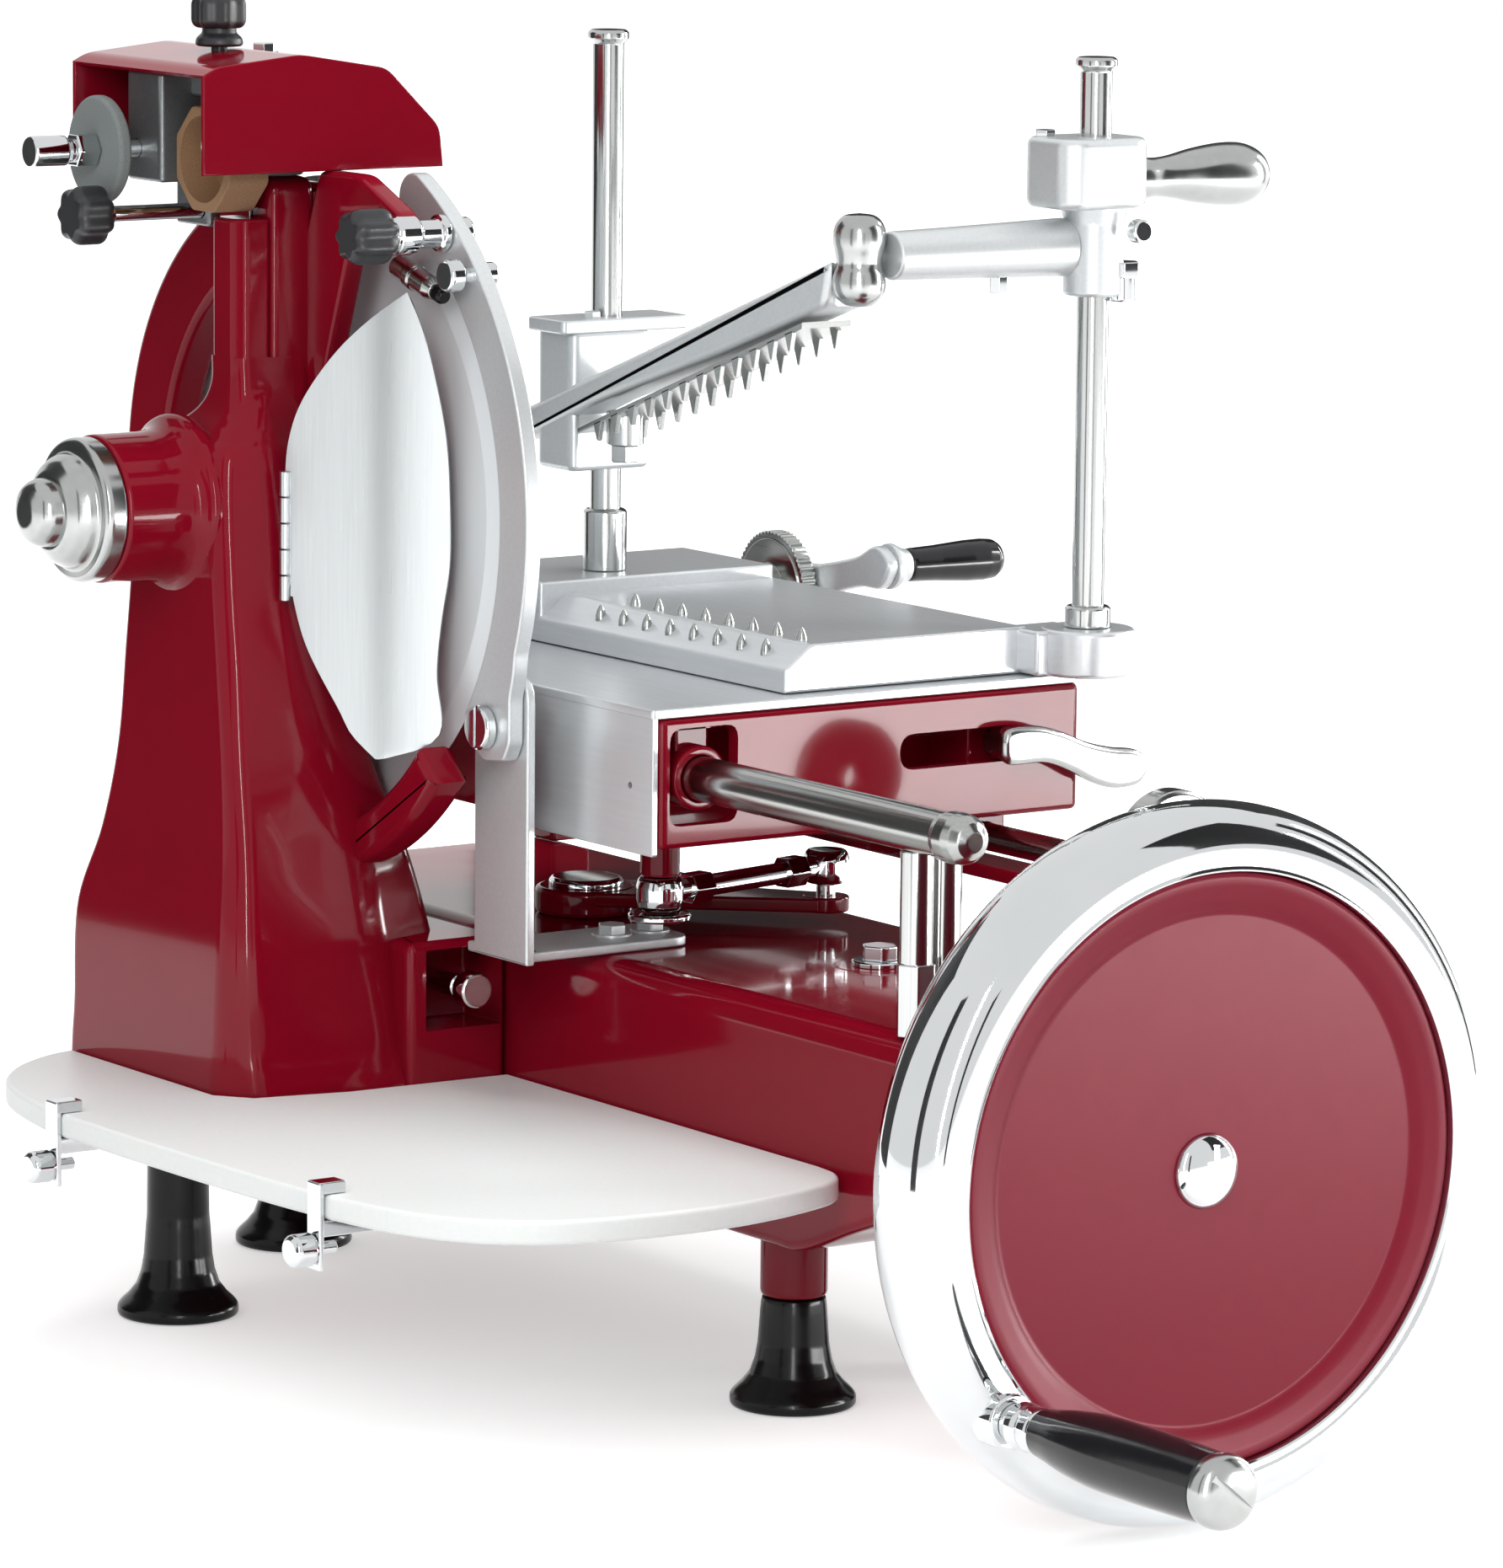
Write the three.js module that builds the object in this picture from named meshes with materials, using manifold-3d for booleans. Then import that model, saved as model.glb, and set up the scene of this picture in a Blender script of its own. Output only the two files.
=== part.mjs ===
// Hand crank meat slicer with a flywheel, in millimetres, +Z up.
// The sizes below are measured from the point straight below the blade's middle, on the
// surface that the feet stand on, and the whole machine is then moved so that the middle
// of its front left foot stands on the origin.
// +X points away from the column's bearing cap and +Y away from the flywheel.
import * as THREE from 'three';
import { mergeVertices } from 'three/addons/utils/BufferGeometryUtils.js';
import Module from 'manifold-3d';

const wasm = await Module();
wasm.setup();

// Clearances and counts
const seat = 0.3;
const freeGap = 1;
const over = 6;
const round = 20;
const fine = 60;
const small = 12;
const lobes = 7;

// Blade, its shaft and its guards
const blade = { radius: 160, height: 420, thick: 6, edge: 0.8, bevel: 12, dish: 60, bevelDepth: 3.6 };
const bladeShaft = { radius: 14, left: -138, flangeRadius: 30, flangeLeft: -27 };
const ring = { gap: 3, width: 25, left: -6, right: 2.7, topDegrees: 62, bottomDegrees: -40 };
// What the ring carries has its place outward from the ring's inner edge and its angle round the blade
const ringScrew = {
  out: 18.9, turnDegrees: 213.34, headRadius: 11, head: 6, shank: 4, slot: 2.4, nut: 8, nutThick: 6,
};
const ringKnob = {
  out: 16.3, turnDegrees: 128.66, radius: 14, lobe: 2.4, left: -62, right: -38, nutRight: -35, nutRadius: 9,
  stud: 4,
};
const ringStop = {
  out: 17.5, turnDegrees: 137.92, radius: 8, left: -20, pin: 3.5, cap: 6, capRight: 9,
};
// Pad round the ring's screw, measured from the screw
const ringPad = { ahead: 20, behind: 14, below: 17, above: 30 };
const cover = {
  hingeX: -64, hingeY: -58.2, farX: -12, farY: -128, thick: 1.6, bulge: 7, knuckle: 3, low: -44, high: 20,
};
// The cover's edge as distance from the hinge line and height above the blade's middle
const coverEdge = [
  [4, -36], [12, -65], [31, -96], [51, -120], [68, -116], [84, -105], [80, -77], [83, -51], [87, -22],
  [87, 8], [85, 41], [79, 73], [66, 112], [46, 97], [28, 80], [11, 58], [3, 40], [0, 20],
];

// Column casting
const columnBase = {
  left: -106, right: 46, front: -92, rear: 86, bottom: 106, skirtTop: 142, top: 203, cornerX: 14,
  cornerY: 18, skew: 8,
};
const recess = { left: -2, right: 45.7, bottom: 158, top: 199, depth: 34 };
// Tower sections: height as a share of the way from the casting's foot to the blade's middle,
// left, rear, two front corners, right corner
const towerLevels = [
  { upShare: 0.1083, left: -106, rear: 86, ax: -93, ay: -79, bx: -14, by: -84, cx: 22, cy: -62, fy: -66 },
  { upShare: 0.3248, left: -104, rear: 83, ax: -94, ay: -75, bx: -24, by: -76, cx: 13, cy: -56, fy: -65 },
  { upShare: 0.4586, left: -100.5, rear: 64, ax: -93, ay: -70, bx: -31, by: -71, cx: -2, cy: -54, fy: -61 },
  { upShare: 0.5032, left: -100, rear: 60, ax: -93, ay: -68, bx: -34, by: -69, cx: -12, cy: -53, fy: -60 },
  { upShare: 0.6019, left: -99, rear: 50, ax: -92, ay: -64, bx: -39, by: -66, cx: -16, cy: -50, fy: -57 },
  { upShare: 0.8885, left: -97, rear: 40, ax: -91, ay: -52, bx: -54, by: -54, cx: -31, cy: -40, fy: -44 },
  { upShare: 1.0637, left: -95, rear: 38, ax: -90, ay: -43, bx: -68, by: -52, cx: -36, cy: -38, fy: -36 },
  { upShare: 1.1783, left: -80, rear: 6, ax: -77, ay: -33, bx: -64, by: -36, cx: -42, cy: -32, fy: -26 },
];
const towerRoomLevels = [
  { upShare: -0.0191, left: -98, right: 10, front: -58, rear: 78 },
  { upShare: 0.3248, left: -94, right: 2, front: -52, rear: 70 },
  { upShare: 0.4586, left: -92, right: -12, front: -48, rear: 54 },
  { upShare: 0.6019, left: -90, right: -24, front: -42, rear: 42 },
  { upShare: 0.8885, left: -88, right: -44, front: -34, rear: 32 },
  { upShare: 1.0828, left: -86, right: -50, front: -28, rear: 26 },
];
const boss = { radius: 37, left: -140 };
const post = { left: -75, right: -56, front: -30, rear: -3, rise: 143, chamfer: 5 };
const rib = { right: -29, front: -30, rear: -6, rise: 163, drop: 10 };
const arch = { radius: 158, width: 40, left: -30, right: -8, fromDegrees: -72, toDegrees: 100 };
const lowLug = { inner: 168, outer: 191, left: -30, right: -8, fromDegrees: -138, toDegrees: -104 };
const strut = { left: -34, right: -22 };
// Side of the strut: its foot and top from the blade's middle, its eye from the guard knob's stud
const strutFoot = [[12, 35], [-34, 35]];
const strutEye = [[40, 0], [12, -11], [-3, -10], [-10, 0], [-3, 10]];
const strutTop = [[-76, 166.7], [-40, 166.7]];
const bearingCap = {
  flange: 36, flangeThick: 12, dome: 31, domeThick: 17, tip: 21.7, tipThick: 9.6, hex: 17, hexThick: 13,
};

// Base casting and feet
const base = { left: 48, right: 240, front: -345, rear: 166, bottom: 85, deck: 203, wall: 8, edge: 12 };
const nose = { front: -452, bottom: 128 };
const foot = { radius: 31, rim: 4, shoulder: 19, shoulderZ: 27, neck: 15, flare: 1, tall: 54, stem: 16 };
const footShares = { rim: 2.6, flare: 0.7, neck: 0.78 };
const feetPlaces = [
  { name: 'foot_column', x: -75, y: 28, top: 105.7 },
  { name: 'foot_rear', x: 66, y: 146, top: 54 },
  { name: 'foot_front_left', x: 76, y: -304, top: 54 },
  { name: 'foot_front_right', x: 210, y: -304, top: 54 },
];
const deckBolt = { x: 155, y: -262, radius: 9, head: 7, washer: 14, washerThick: 2.5 };

// Shafts and chain inside the castings
const mainShaft = {
  x: 78, z: 171, radius: 13, bossRadius: 34, bearing: 22, coneNear: 12, coneFar: 22, bearingFront: -56,
  bearingRear: -32,
};
const crossShaft = { radius: 8, left: -84 };
const chain = { left: -71, right: -65, thick: 5, lower: 24, upper: 18 };

// Flywheel, its centre lies behind the front edge plane
const wheel = {
  y: -609, radius: 167, discRadius: 137, lip: 119, step: 1, face: -15, edgeFace: -21, rear: 24, hub: 36,
  hubRear: 14,
};
const rimShares = [
  [0, -0.86], [0.3, -1], [0.62, -0.9], [0.9, -0.5], [1, 0], [0.93, 0.46], [0.7, 0.84], [0.43, 1],
  [0.16, 0.92], [0, 0.66],
];
const wheelScrew = { radius: 17.5, dome: 7.5, slot: 3, slotDepth: 2 };
const domeShares = [[0, 1], [0.55, 0.85], [0.87, 0.5]];
const handle = {
  arm: 152, turnDegrees: 221, boss: 13, bossFront: -27, collar: 11, collarEnd: -50, pin: 6, gripEnd: -174,
};
const grip = { start: 11, swell: 17, swellAt: 40, taper: 2, taperShare: 0.7, end: 16.5, cap: 17, dome: 12 };
const capShares = [[1, 0], [1, 0.3], [0.8, 0.75], [0.4, 1], [0, 1]];

// Tray board and its clips
const tray = { bottom: 120, top: 132, gap: 1 };
const trayOutline = [
  [-107, 80], [-126, 74], [-150, 58], [-170, 36], [-184, 8], [-193, -30], [-197, -66], [-196, -160],
  [-192, -261], [-184, -330], [-168, -372], [-143, -398], [-115, -411], [-80, -417], [-43, -418],
  [-14, -414], [14, -406], [34, -397], [44, -384], [46.7, -366], [46.7, -100], [-90, -60],
];
const clip = {
  width: 11, bar: 112, plate: 3, hookTop: 138, lip: 12, plateBottom: 96, screwZ: 106, screw: 8,
  screwLength: 13, stud: 3,
};
const clipPlaces = [
  { name: 'left', edge: -197, y: -62, reach: -106.3 },
  { name: 'right', edge: -190, y: -296, reach: 47.7 },
];

// Rails and the posts that carry them
const railFront = { x: 54, z: 303, radius: 11, front: -466, rear: 160, ball: 12.5 };
const railRear = { x: 235, z: 258, radius: 7, front: -405, rear: 160 };
const railPost = { frontY: -425, rearY: 148, radius: 8, hex: 10, hexTop: 238 };
const secondPost = { x: 80, y: -418, radius: 8.5, top: 286 };
const bridge = { left: 224, right: 249, front: -420, rear: 158, bottom: 239, top: 246, leg: 20, cap: 6 };
const clampRing = { y: -398, depth: 14, radius: 30, z: 272 };

// Bracket that holds the guard ring, measured along the machine and up from the ring's screw
const bracket = {
  left: 3, thick: 5, half: 24, above: 27, reach: 108, footAhead: 16, footBehind: 30, boltBehind: 7,
};
const bracketBolts = [74, 97];
const bolt = { radius: 7, head: 6, sides: 6 };

// Carriage, sliding along Y
const carriage = { left: 27, right: 281, front: -256, rear: 60, bottom: 270, top: 334, wall: 8 };
const notch = { left: 34, right: 69, bottom: 284, top: 327 };
const slot = { left: 170, right: 244, bottom: 298, top: 316 };
const railBoss = { radius: 16, front: -252, depth: 34, shoe: 12, clearance: 0.5 };
const linkPost = { x: 86, y: -170, radius: 10, bottom: 241 };
const plate = {
  left: 23, thick: 4.7, flange: 3.4, flangeFront: -256, flangeRear: -150, flangeBottom: 267, right: 279,
};
const screwBracket = { left: 262, right: 274, halfWidth: 15, top: 366 };
const lever = {
  pivotX: 234.5, z: 307, front: -270, body: 9, waistShare: 0.7, tipShare: 0.8, tipX: 309, tipZ: 290,
  thick: 8,
};

// Rocker and connecting rod below the carriage
const rocker = {
  x: 118, y: -55, hub: 26, bottom: 209, top: 217, nutTop: 221.5, nut: 19, tip: 12, armDegrees: -46,
  arm: 125,
};
const rockerPin = { radius: 5, top: 222.6 };
const rod = { z: 232, radius: 5.5, housing: 9, housingRadius: 12, chamfer: 2, hex: 8.5, hexLength: 14 };

// Meat table with its rods and feed, sliding along X
const table = {
  left: 108, right: 255, front: -245, rear: 60, bottom: 339.6, top: 363, bevel: 16, lowEdge: 351,
};
const block = { front: -25, top: 370 };
const spike = { radius: 2.6, height: 7, rows: 2, count: 8, rowX: 116, rowGap: 14, first: -70, step: -21 };
const lug = { x: 280, y: -262, radius: 24, neck: 15 };
const rodLeft = {
  x: 166, y: 2, radius: 8, collar: 11.3, collarTop: 402, above: 35, cap: 10.5, capThick: 6, chamfer: 2,
};
const rodRight = {
  x: 280, y: -262, radius: 8, collar: 11.5, collarTop: 374, above: 33, cap: 10.5, capThick: 6, chamfer: 2,
};
const screw = {
  y: 20, z: 350, radius: 6, left: 112, dialLeft: 282, dialRight: 292, dial: 31, hub: 13.95, end: 301,
  clearance: 0.6,
};
const crank = { left: 293, thick: 8, hub: 14, tip: 11, tipY: -62, tipZ: 370, pin: 5, pinEnd: 368 };
const feedGrip = { left: 312, right: 366, narrow: 8.5, wide: 11, rounding: 2, ferrule: 12 };

// Press on the two rods, heights measured from the underside of its head
const press = { height: 573 };
const head = {
  left: 248, right: 302, front: -284, rear: -240, top: 35, sleeve: 15, sleeveBottom: -44, corner: 8,
};
const clampHandle = {
  left: 316, right: 384, z: 13, thick: 32, width: 36, stud: 6, studEnd: 1.3, crownShare: 0.6,
};
const arm = { y: -256, z: -20, left: 159.3, right: 266, thin: 12, thick: 14.5 };
const elbow = {
  x: 146, y: -250, radius: 13, top: 1, bottom: -45, crown: 2, flatShare: 0.9, roundShare: 0.7,
};
const beam = {
  left: 133, right: 160, frontY: -244, frontZ: -22, rearY: 34, rearAboveTable: 89, depth: 24,
  rearShare: 0.7,
};
const teeth = {
  count: 16, pitch: 15.4, width: 9, length: 13, left: 132, right: 162, thick: 3, first: -214, tip: 1.2,
};
// Clamp on the left rod, its heights measured from the table's top
const rodClamp = { left: 128, right: 206, plateTop: 139, plateBottom: 132, halfY: 17, lower: 61 };

// Sharpener on top
// Heights here are measured from the top of the column's rib
const hood = { left: -106, front: -50, rear: 78.6, bottom: 4, thick: 3 };
const hoodSide = [[-106, 53], [-98, 57], [-50, 62], [0, 54], [31, 24], [33, 4]];
const hoodRoof = [[-106, 50], [-98, 54], [-50, 59], [-1.2, 51], [28, 22.8], [30, 4]];
const holder = {
  left: -88, right: -34, front: -28, rear: 56, step: 22, bottom: 0.6, low: -5, top: 50, mid: -58,
};
const stone = { left: -113, thick: 7, radius: 27, y: 45, z: 11, chamfer: 2 };
const spindle = { radius: 8, left: -150, thin: 4.5, nut: 9, nutThick: 6 };
const cup = { left: -84, right: -61, y: -12, z: 9, sides: 8, radius: 28, bore: 19, depth: 16, stem: 4 };
const stoneKnob = { x: -136, y: 30, z: -20, radius: 14, length: 20, rod: 4, right: -60, lug: 8 };
const hoodKnob = {
  x: -60, y: 12, z: 67, skirtDrop: 4, neckShare: 0.6, radius: 14, height: 16, skirt: 12, skirtHeight: 5,
  stud: 4,
};
const columnPin = {
  x: 16, z: 180, radius: 6, headRadius: 9, thin: 4.8, front: -112, neck: -96, headLength: 10, rear: -40,
};

// Looks
const look = (color, roughness, metalness) => new THREE.MeshStandardMaterial(
  { color, roughness, metalness },
);
const redPaint = look('#8c0d1f', 0.22, 0.1);
const satinRed = look('#7d1a28', 0.35, 0.1);
const chrome = look('#d8dadb', 0.08, 1);
const steel = look('#b9bdbf', 0.25, 1);
const bladeSteel = look('#d3d7d9', 0.18, 1);
const aluminium = look('#c9cdcf', 0.4, 1);
const blackPlastic = look('#17181a', 0.3, 0);
const knobPlastic = look('#2b2e31', 0.5, 0);
const whiteBoard = look('#eef1f0', 0.5, 0);
const greyStone = look('#7f8886', 0.9, 0);
const tanStone = look('#a98a6c', 0.9, 0);
const darkSteel = look('#4a4f52', 0.4, 0.8);

// Solids from three.js geometries, with shared corners merged and faces pointing out
function solidOf(geometry) {
  const bare = geometry.clone();
  bare.deleteAttribute('normal');
  bare.deleteAttribute('uv');
  const merged = mergeVertices(bare);
  const points = merged.attributes.position.array;
  const kept = [];
  let volume = 0;
  const [a, b, c] = [new THREE.Vector3(), new THREE.Vector3(), new THREE.Vector3()];
  for (let i = 0; i < merged.index.count; i += 3) {
    const [p, q, r] = [0, 1, 2].map((k) => merged.index.getX(i + k));
    if (p === q || q === r || p === r) continue;
    kept.push(p, q, r);
    [[a, p], [b, q], [c, r]].forEach(([v, k]) => v.fromArray(points, 3 * k));
    volume += a.dot(b.cross(c));
  }
  if (volume < 0) {
    for (let i = 0; i < kept.length; i += 3) [kept[i], kept[i + 1]] = [kept[i + 1], kept[i]];
  }
  const mesh = new wasm.Mesh({
    numProp: 3, vertProperties: new Float32Array(points), triVerts: new Uint32Array(kept),
  });
  return new wasm.Manifold(mesh);
}

// Turns a shape drawn along Z so that it runs along the named axis
function along(axis, geometry) {
  const [x, y, z] = [new THREE.Vector3(1, 0, 0), new THREE.Vector3(0, 1, 0), new THREE.Vector3(0, 0, 1)];
  const turns = { x: [y, z, x], y: [z, x, y], z: [x, y, z] };
  return geometry.applyMatrix4(new THREE.Matrix4().makeBasis(...turns[axis]));
}

const box = ([x0, x1], [y0, y1], [z0, z1]) => solidOf(
  new THREE.BoxGeometry(x1 - x0, y1 - y0, z1 - z0).translate((x0 + x1) / 2, (y0 + y1) / 2, (z0 + z1) / 2),
);

// Outline points are (Y, Z) for axis x, (X, Z) for axis y and (X, Y) for axis z
function prism(axis, outline, [from, to]) {
  const points = outline.map(
    ([p, q]) => (axis === 'y' ? new THREE.Vector2(q, p) : new THREE.Vector2(p, q)),
  );
  const geometry = new THREE.ExtrudeGeometry(
    new THREE.Shape(points), { depth: to - from, bevelEnabled: false },
  );
  return solidOf(along(axis, geometry.translate(0, 0, from)));
}

// Profile points are (radius, place along the axis)
function turned(axis, profile, sides = round) {
  const points = profile.map(([r, t]) => new THREE.Vector2(r, t));
  const upright = new THREE.LatheGeometry(points, sides).rotateX(Math.PI / 2);
  return solidOf(along(axis, upright));
}

function rodAlong(axis, radius, [from, to], sides = round) {
  return turned(axis, [[0, from], [radius, from], [radius, to], [0, to]], sides);
}

function tubeAlong(axis, outer, inner, [from, to], sides = round) {
  return turned(axis, [[inner, from], [outer, from], [outer, to], [inner, to], [inner, from]], sides);
}

// Joins rings of equal count, listed from one end to the other
function loft(rings) {
  const count = rings[0].length;
  const points = rings.flat();
  const faces = [];
  for (let i = 0; i + 1 < rings.length; i += 1) {
    for (let j = 0; j < count; j += 1) {
      const [p, q] = [i * count + j, i * count + ((j + 1) % count)];
      faces.push(p, q, q + count, p, q + count, p + count);
    }
  }
  const capOf = (ring, offset, flip) => {
    const flat = ring.map(([x, y]) => new THREE.Vector2(x, y));
    THREE.ShapeUtils.triangulateShape(flat, []).forEach(([p, q, r]) => {
      const face = flip ? [p, r, q] : [p, q, r];
      faces.push(...face.map((k) => k + offset));
    });
  };
  capOf(rings[0], 0, true);
  capOf(rings[rings.length - 1], (rings.length - 1) * count, false);
  const geometry = new THREE.BufferGeometry();
  geometry.setAttribute('position', new THREE.Float32BufferAttribute(points.flat(), 3));
  geometry.setIndex(faces);
  return solidOf(geometry);
}

const move = (solid, x, y, z) => solid.translate([x, y, z]);
const joined = (...solids) => solids.reduce((whole, next) => whole.add(next));
const cut = (whole, ...tools) => tools.reduce((rest, tool) => rest.subtract(tool), whole);
const radians = (degrees) => (degrees * Math.PI) / 180;

// A round knob with shallow hollows between its lobes
function lobedKnob(axis, radius, depth, [from, to]) {
  const turns = lobes * 6;
  const outline = Array.from({ length: turns }, (_, i) => {
    const angle = (2 * Math.PI * i) / turns;
    const r = radius - (depth * (1 - Math.cos(lobes * angle))) / 2;
    return [r * Math.cos(angle), r * Math.sin(angle)];
  });
  const dome = (to - from) / 4;
  const body = prism(axis, outline, [from, to]);
  const shape = turned(axis, [
    [0, from], [radius - dome, from], [radius, from + dome], [radius, to - dome], [radius - dome, to],
    [0, to],
  ]);
  return body.intersect(shape);
}

// Part of a flat ring around the blade's axis, angles from +Y upward
function ringSector(inner, outer, fromDegrees, toDegrees, [x0, x1]) {
  const steps = fine / 2;
  const point = (r, i) => {
    const angle = radians(fromDegrees + ((toDegrees - fromDegrees) * i) / steps);
    return [r * Math.cos(angle), blade.height + r * Math.sin(angle)];
  };
  const inside = Array.from({ length: steps + 1 }, (_, i) => point(inner, i));
  const outside = Array.from({ length: steps + 1 }, (_, i) => point(outer, steps - i));
  return prism('x', [...inside, ...outside], [x0, x1]);
}

const part = new THREE.Group();
const machine = new THREE.Group();
const ribTop = blade.height + rib.rise;
const originFoot = feetPlaces.find(({ name }) => name === 'foot_front_left');
machine.position.set(-originFoot.x, -originFoot.y, 0);
part.add(machine);

// Adds one named mesh whose shape is drawn around the given place
function add(name, solid, material, at = [0, 0, 0], parent = machine) {
  const { vertProperties, triVerts, numProp } = solid.getMesh();
  const geometry = new THREE.BufferGeometry();
  const positions = new Float32Array(triVerts.length * 3);
  triVerts.forEach((v, i) => positions.set(vertProperties.subarray(v * numProp, v * numProp + 3), i * 3));
  geometry.setAttribute('position', new THREE.BufferAttribute(positions, 3));
  geometry.computeVertexNormals();
  const mesh = new THREE.Mesh(geometry, material);
  mesh.name = name;
  mesh.position.set(...at);
  parent.add(mesh);
  return mesh;
}

// Base casting: a hollow beam, open below, with a sloping nose and a shaft boss
function baseCasting() {
  const side = (inset) => [
    [base.rear - inset, base.bottom], [base.front + inset, base.bottom],
    [nose.front + inset, nose.bottom + inset], [nose.front + inset, base.deck - base.edge - inset],
    [nose.front + base.edge + inset, base.deck - inset], [base.rear - inset, base.deck - inset],
  ];
  const body = prism('x', side(0), [base.left, base.right]);
  const corners = [[base.left, 1], [base.right, -1]].map(([x, sign]) => prism('y', [
    [x - sign * over, base.deck - base.edge - over], [x - sign * over, base.deck + over],
    [x + sign * (base.edge + over), base.deck + over],
  ], [nose.front - over, base.rear + over]));
  const room = prism('x', side(base.wall), [base.left + base.wall, base.right - base.wall]);
  const opening = box(
    [base.left + base.wall, base.right - base.wall], [base.front + base.wall, base.rear - base.wall],
    [base.bottom - over, base.bottom + over],
  );
  const bossEnd = wheel.y + wheel.rear + base.wall;
  const shaftBoss = move(
    rodAlong('y', mainShaft.bossRadius, [bossEnd, nose.front + base.wall]), mainShaft.x, 0, mainShaft.z,
  );
  const bearing = move(
    rodAlong('y', mainShaft.bearing, [mainShaft.bearingFront, mainShaft.bearingRear]), mainShaft.x, 0,
    mainShaft.z,
  );
  const hanger = box(
    [mainShaft.x - mainShaft.bearing, mainShaft.x + mainShaft.bearing],
    [mainShaft.bearingFront, mainShaft.bearingRear],
    [mainShaft.z, base.deck - base.wall / 2],
  );
  const shaftBore = move(
    rodAlong('y', mainShaft.radius + seat, [bossEnd - over, 0]), mainShaft.x, 0, mainShaft.z,
  );
  const crossBore = move(
    rodAlong('x', crossShaft.radius + seat, [base.left - over, base.left + base.wall + over]), 0, 0,
    mainShaft.z,
  );
  const stems = feetPlaces.slice(1).map(({ x, y, top }) => move(
    rodAlong('z', foot.stem, [top + seat, base.deck - base.wall / 2]), x, y, 0,
  ));
  const shell = joined(cut(body, ...corners, room, opening), shaftBoss, bearing, hanger, ...stems);
  return cut(shell, shaftBore, crossBore);
}

// Column casting: base block, tower, boss, post, rear arch and front strut
function columnCasting() {
  const b = columnBase;
  const baseOutline = (grow) => [
    [b.left - grow, b.rear + grow], [b.left - grow, b.front + b.cornerX + b.cornerY - grow],
    [b.left + b.cornerX - grow / 2, b.front + b.cornerX - grow],
    [b.left + b.cornerX * 4, b.front + b.skew / 2 - grow],
    [b.right + grow, b.front - grow], [b.right + grow, b.rear + grow],
  ];
  const foundation = joined(
    prism('z', baseOutline(0), [b.bottom, b.skirtTop]),
    box([recess.left - base.wall, b.right], [b.front, b.rear], [b.skirtTop, b.top]),
  );
  const heightOf = ({ upShare }) => b.bottom + upShare * (blade.height - b.bottom);
  const levelled = (level, outline) => outline.map(([x, y]) => [x, y, heightOf(level)]);
  const tower = loft(towerLevels.map((l) => levelled(l, [
    [l.left, l.rear], [l.left, l.fy], [l.ax, l.ay], [l.bx, l.by], [l.cx, l.cy], [l.cx, l.rear],
  ])));
  const bossBody = move(rodAlong('x', boss.radius, [boss.left, towerLevels[5].bx]), 0, 0, blade.height);
  const low = heightOf(towerLevels[6]);
  const postOutline = [
    [post.left, post.rear - post.chamfer], [post.left, post.front + post.chamfer],
    [post.left + post.chamfer, post.front], [post.right, post.front], [post.right, post.rear],
    [post.left + post.chamfer, post.rear],
  ];
  const postBody = prism('z', postOutline, [low, blade.height + post.rise]);
  const ribSide = [
    [rib.rear, low], [rib.front, low], [rib.front, ribTop - rib.drop], [rib.front + rib.drop, ribTop],
    [rib.rear, ribTop],
  ];
  const ribBody = prism('x', ribSide, [post.right, rib.right]);
  const archBody = ringSector(
    arch.radius - arch.width, arch.radius, arch.fromDegrees, arch.toDegrees, [arch.left, arch.right],
  );
  const knobPlace = onRing(ringKnob);
  const eye = strutEye.map(([y, z]) => [knobPlace.y + y, knobPlace.rise + z]);
  const strutBody = prism(
    'x', [...strutFoot, ...eye, ...strutTop], [strut.left, strut.right],
  ).translate([0, 0, blade.height]);
  const lugBody = ringSector(
    lowLug.inner, lowLug.outer, lowLug.fromDegrees, lowLug.toDegrees, [lowLug.left, lowLug.right],
  );
  const knobHole = move(
    rodAlong('x', ringKnob.stud + seat, [strut.left - over, strut.right + over], small), 0, knobPlace.y,
    blade.height + knobPlace.rise,
  );
  const room = loft(towerRoomLevels.map((l) => levelled(l, [
    [l.left, l.front], [l.right, l.front], [l.right, l.rear], [l.left, l.rear],
  ])));
  const crossBore = move(
    rodAlong('x', crossShaft.radius + seat, [chain.right, b.right + over]), 0, 0, mainShaft.z,
  );
  const shaftBore = move(
    rodAlong('x', bladeShaft.radius + seat, [boss.left - over, bladeShaft.flangeLeft + over]), 0, 0,
    blade.height,
  );
  const flangeRoom = move(
    rodAlong('x', bladeShaft.flangeRadius + freeGap, [bladeShaft.flangeLeft - seat, 0]), 0, 0, blade.height,
  );
  const recessRoom = box(
    [recess.left, recess.right], [b.front - over, b.front + recess.depth], [recess.bottom, recess.top],
  );
  const pinHole = move(
    rodAlong('y', columnPin.radius + seat, [b.front, columnPin.rear + seat], small), columnPin.x, 0,
    columnPin.z,
  );
  const seatPlace = feetPlaces[0];
  const footSeat = box(
    [b.left + base.wall / 2, seatPlace.x + foot.stem], [seatPlace.y - foot.neck, seatPlace.y + foot.neck],
    [b.bottom, b.bottom + base.wall * 2],
  );
  const whole = joined(foundation, tower, bossBody, postBody, ribBody, archBody, strutBody, lugBody);
  return joined(
    cut(whole, room, crossBore, shaftBore, flangeRoom, knobHole, recessRoom, pinHole), footSeat,
  );
}

function bellFoot(top) {
  return turned('z', [
    [0, 0], [foot.radius, 0], [foot.radius, foot.rim], [foot.radius - foot.rim, foot.rim * footShares.rim],
    [foot.shoulder, foot.shoulderZ], [foot.neck + foot.flare, foot.tall * footShares.flare],
    [foot.neck, foot.tall * footShares.neck], [foot.neck, top], [0, top],
  ]);
}

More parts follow.
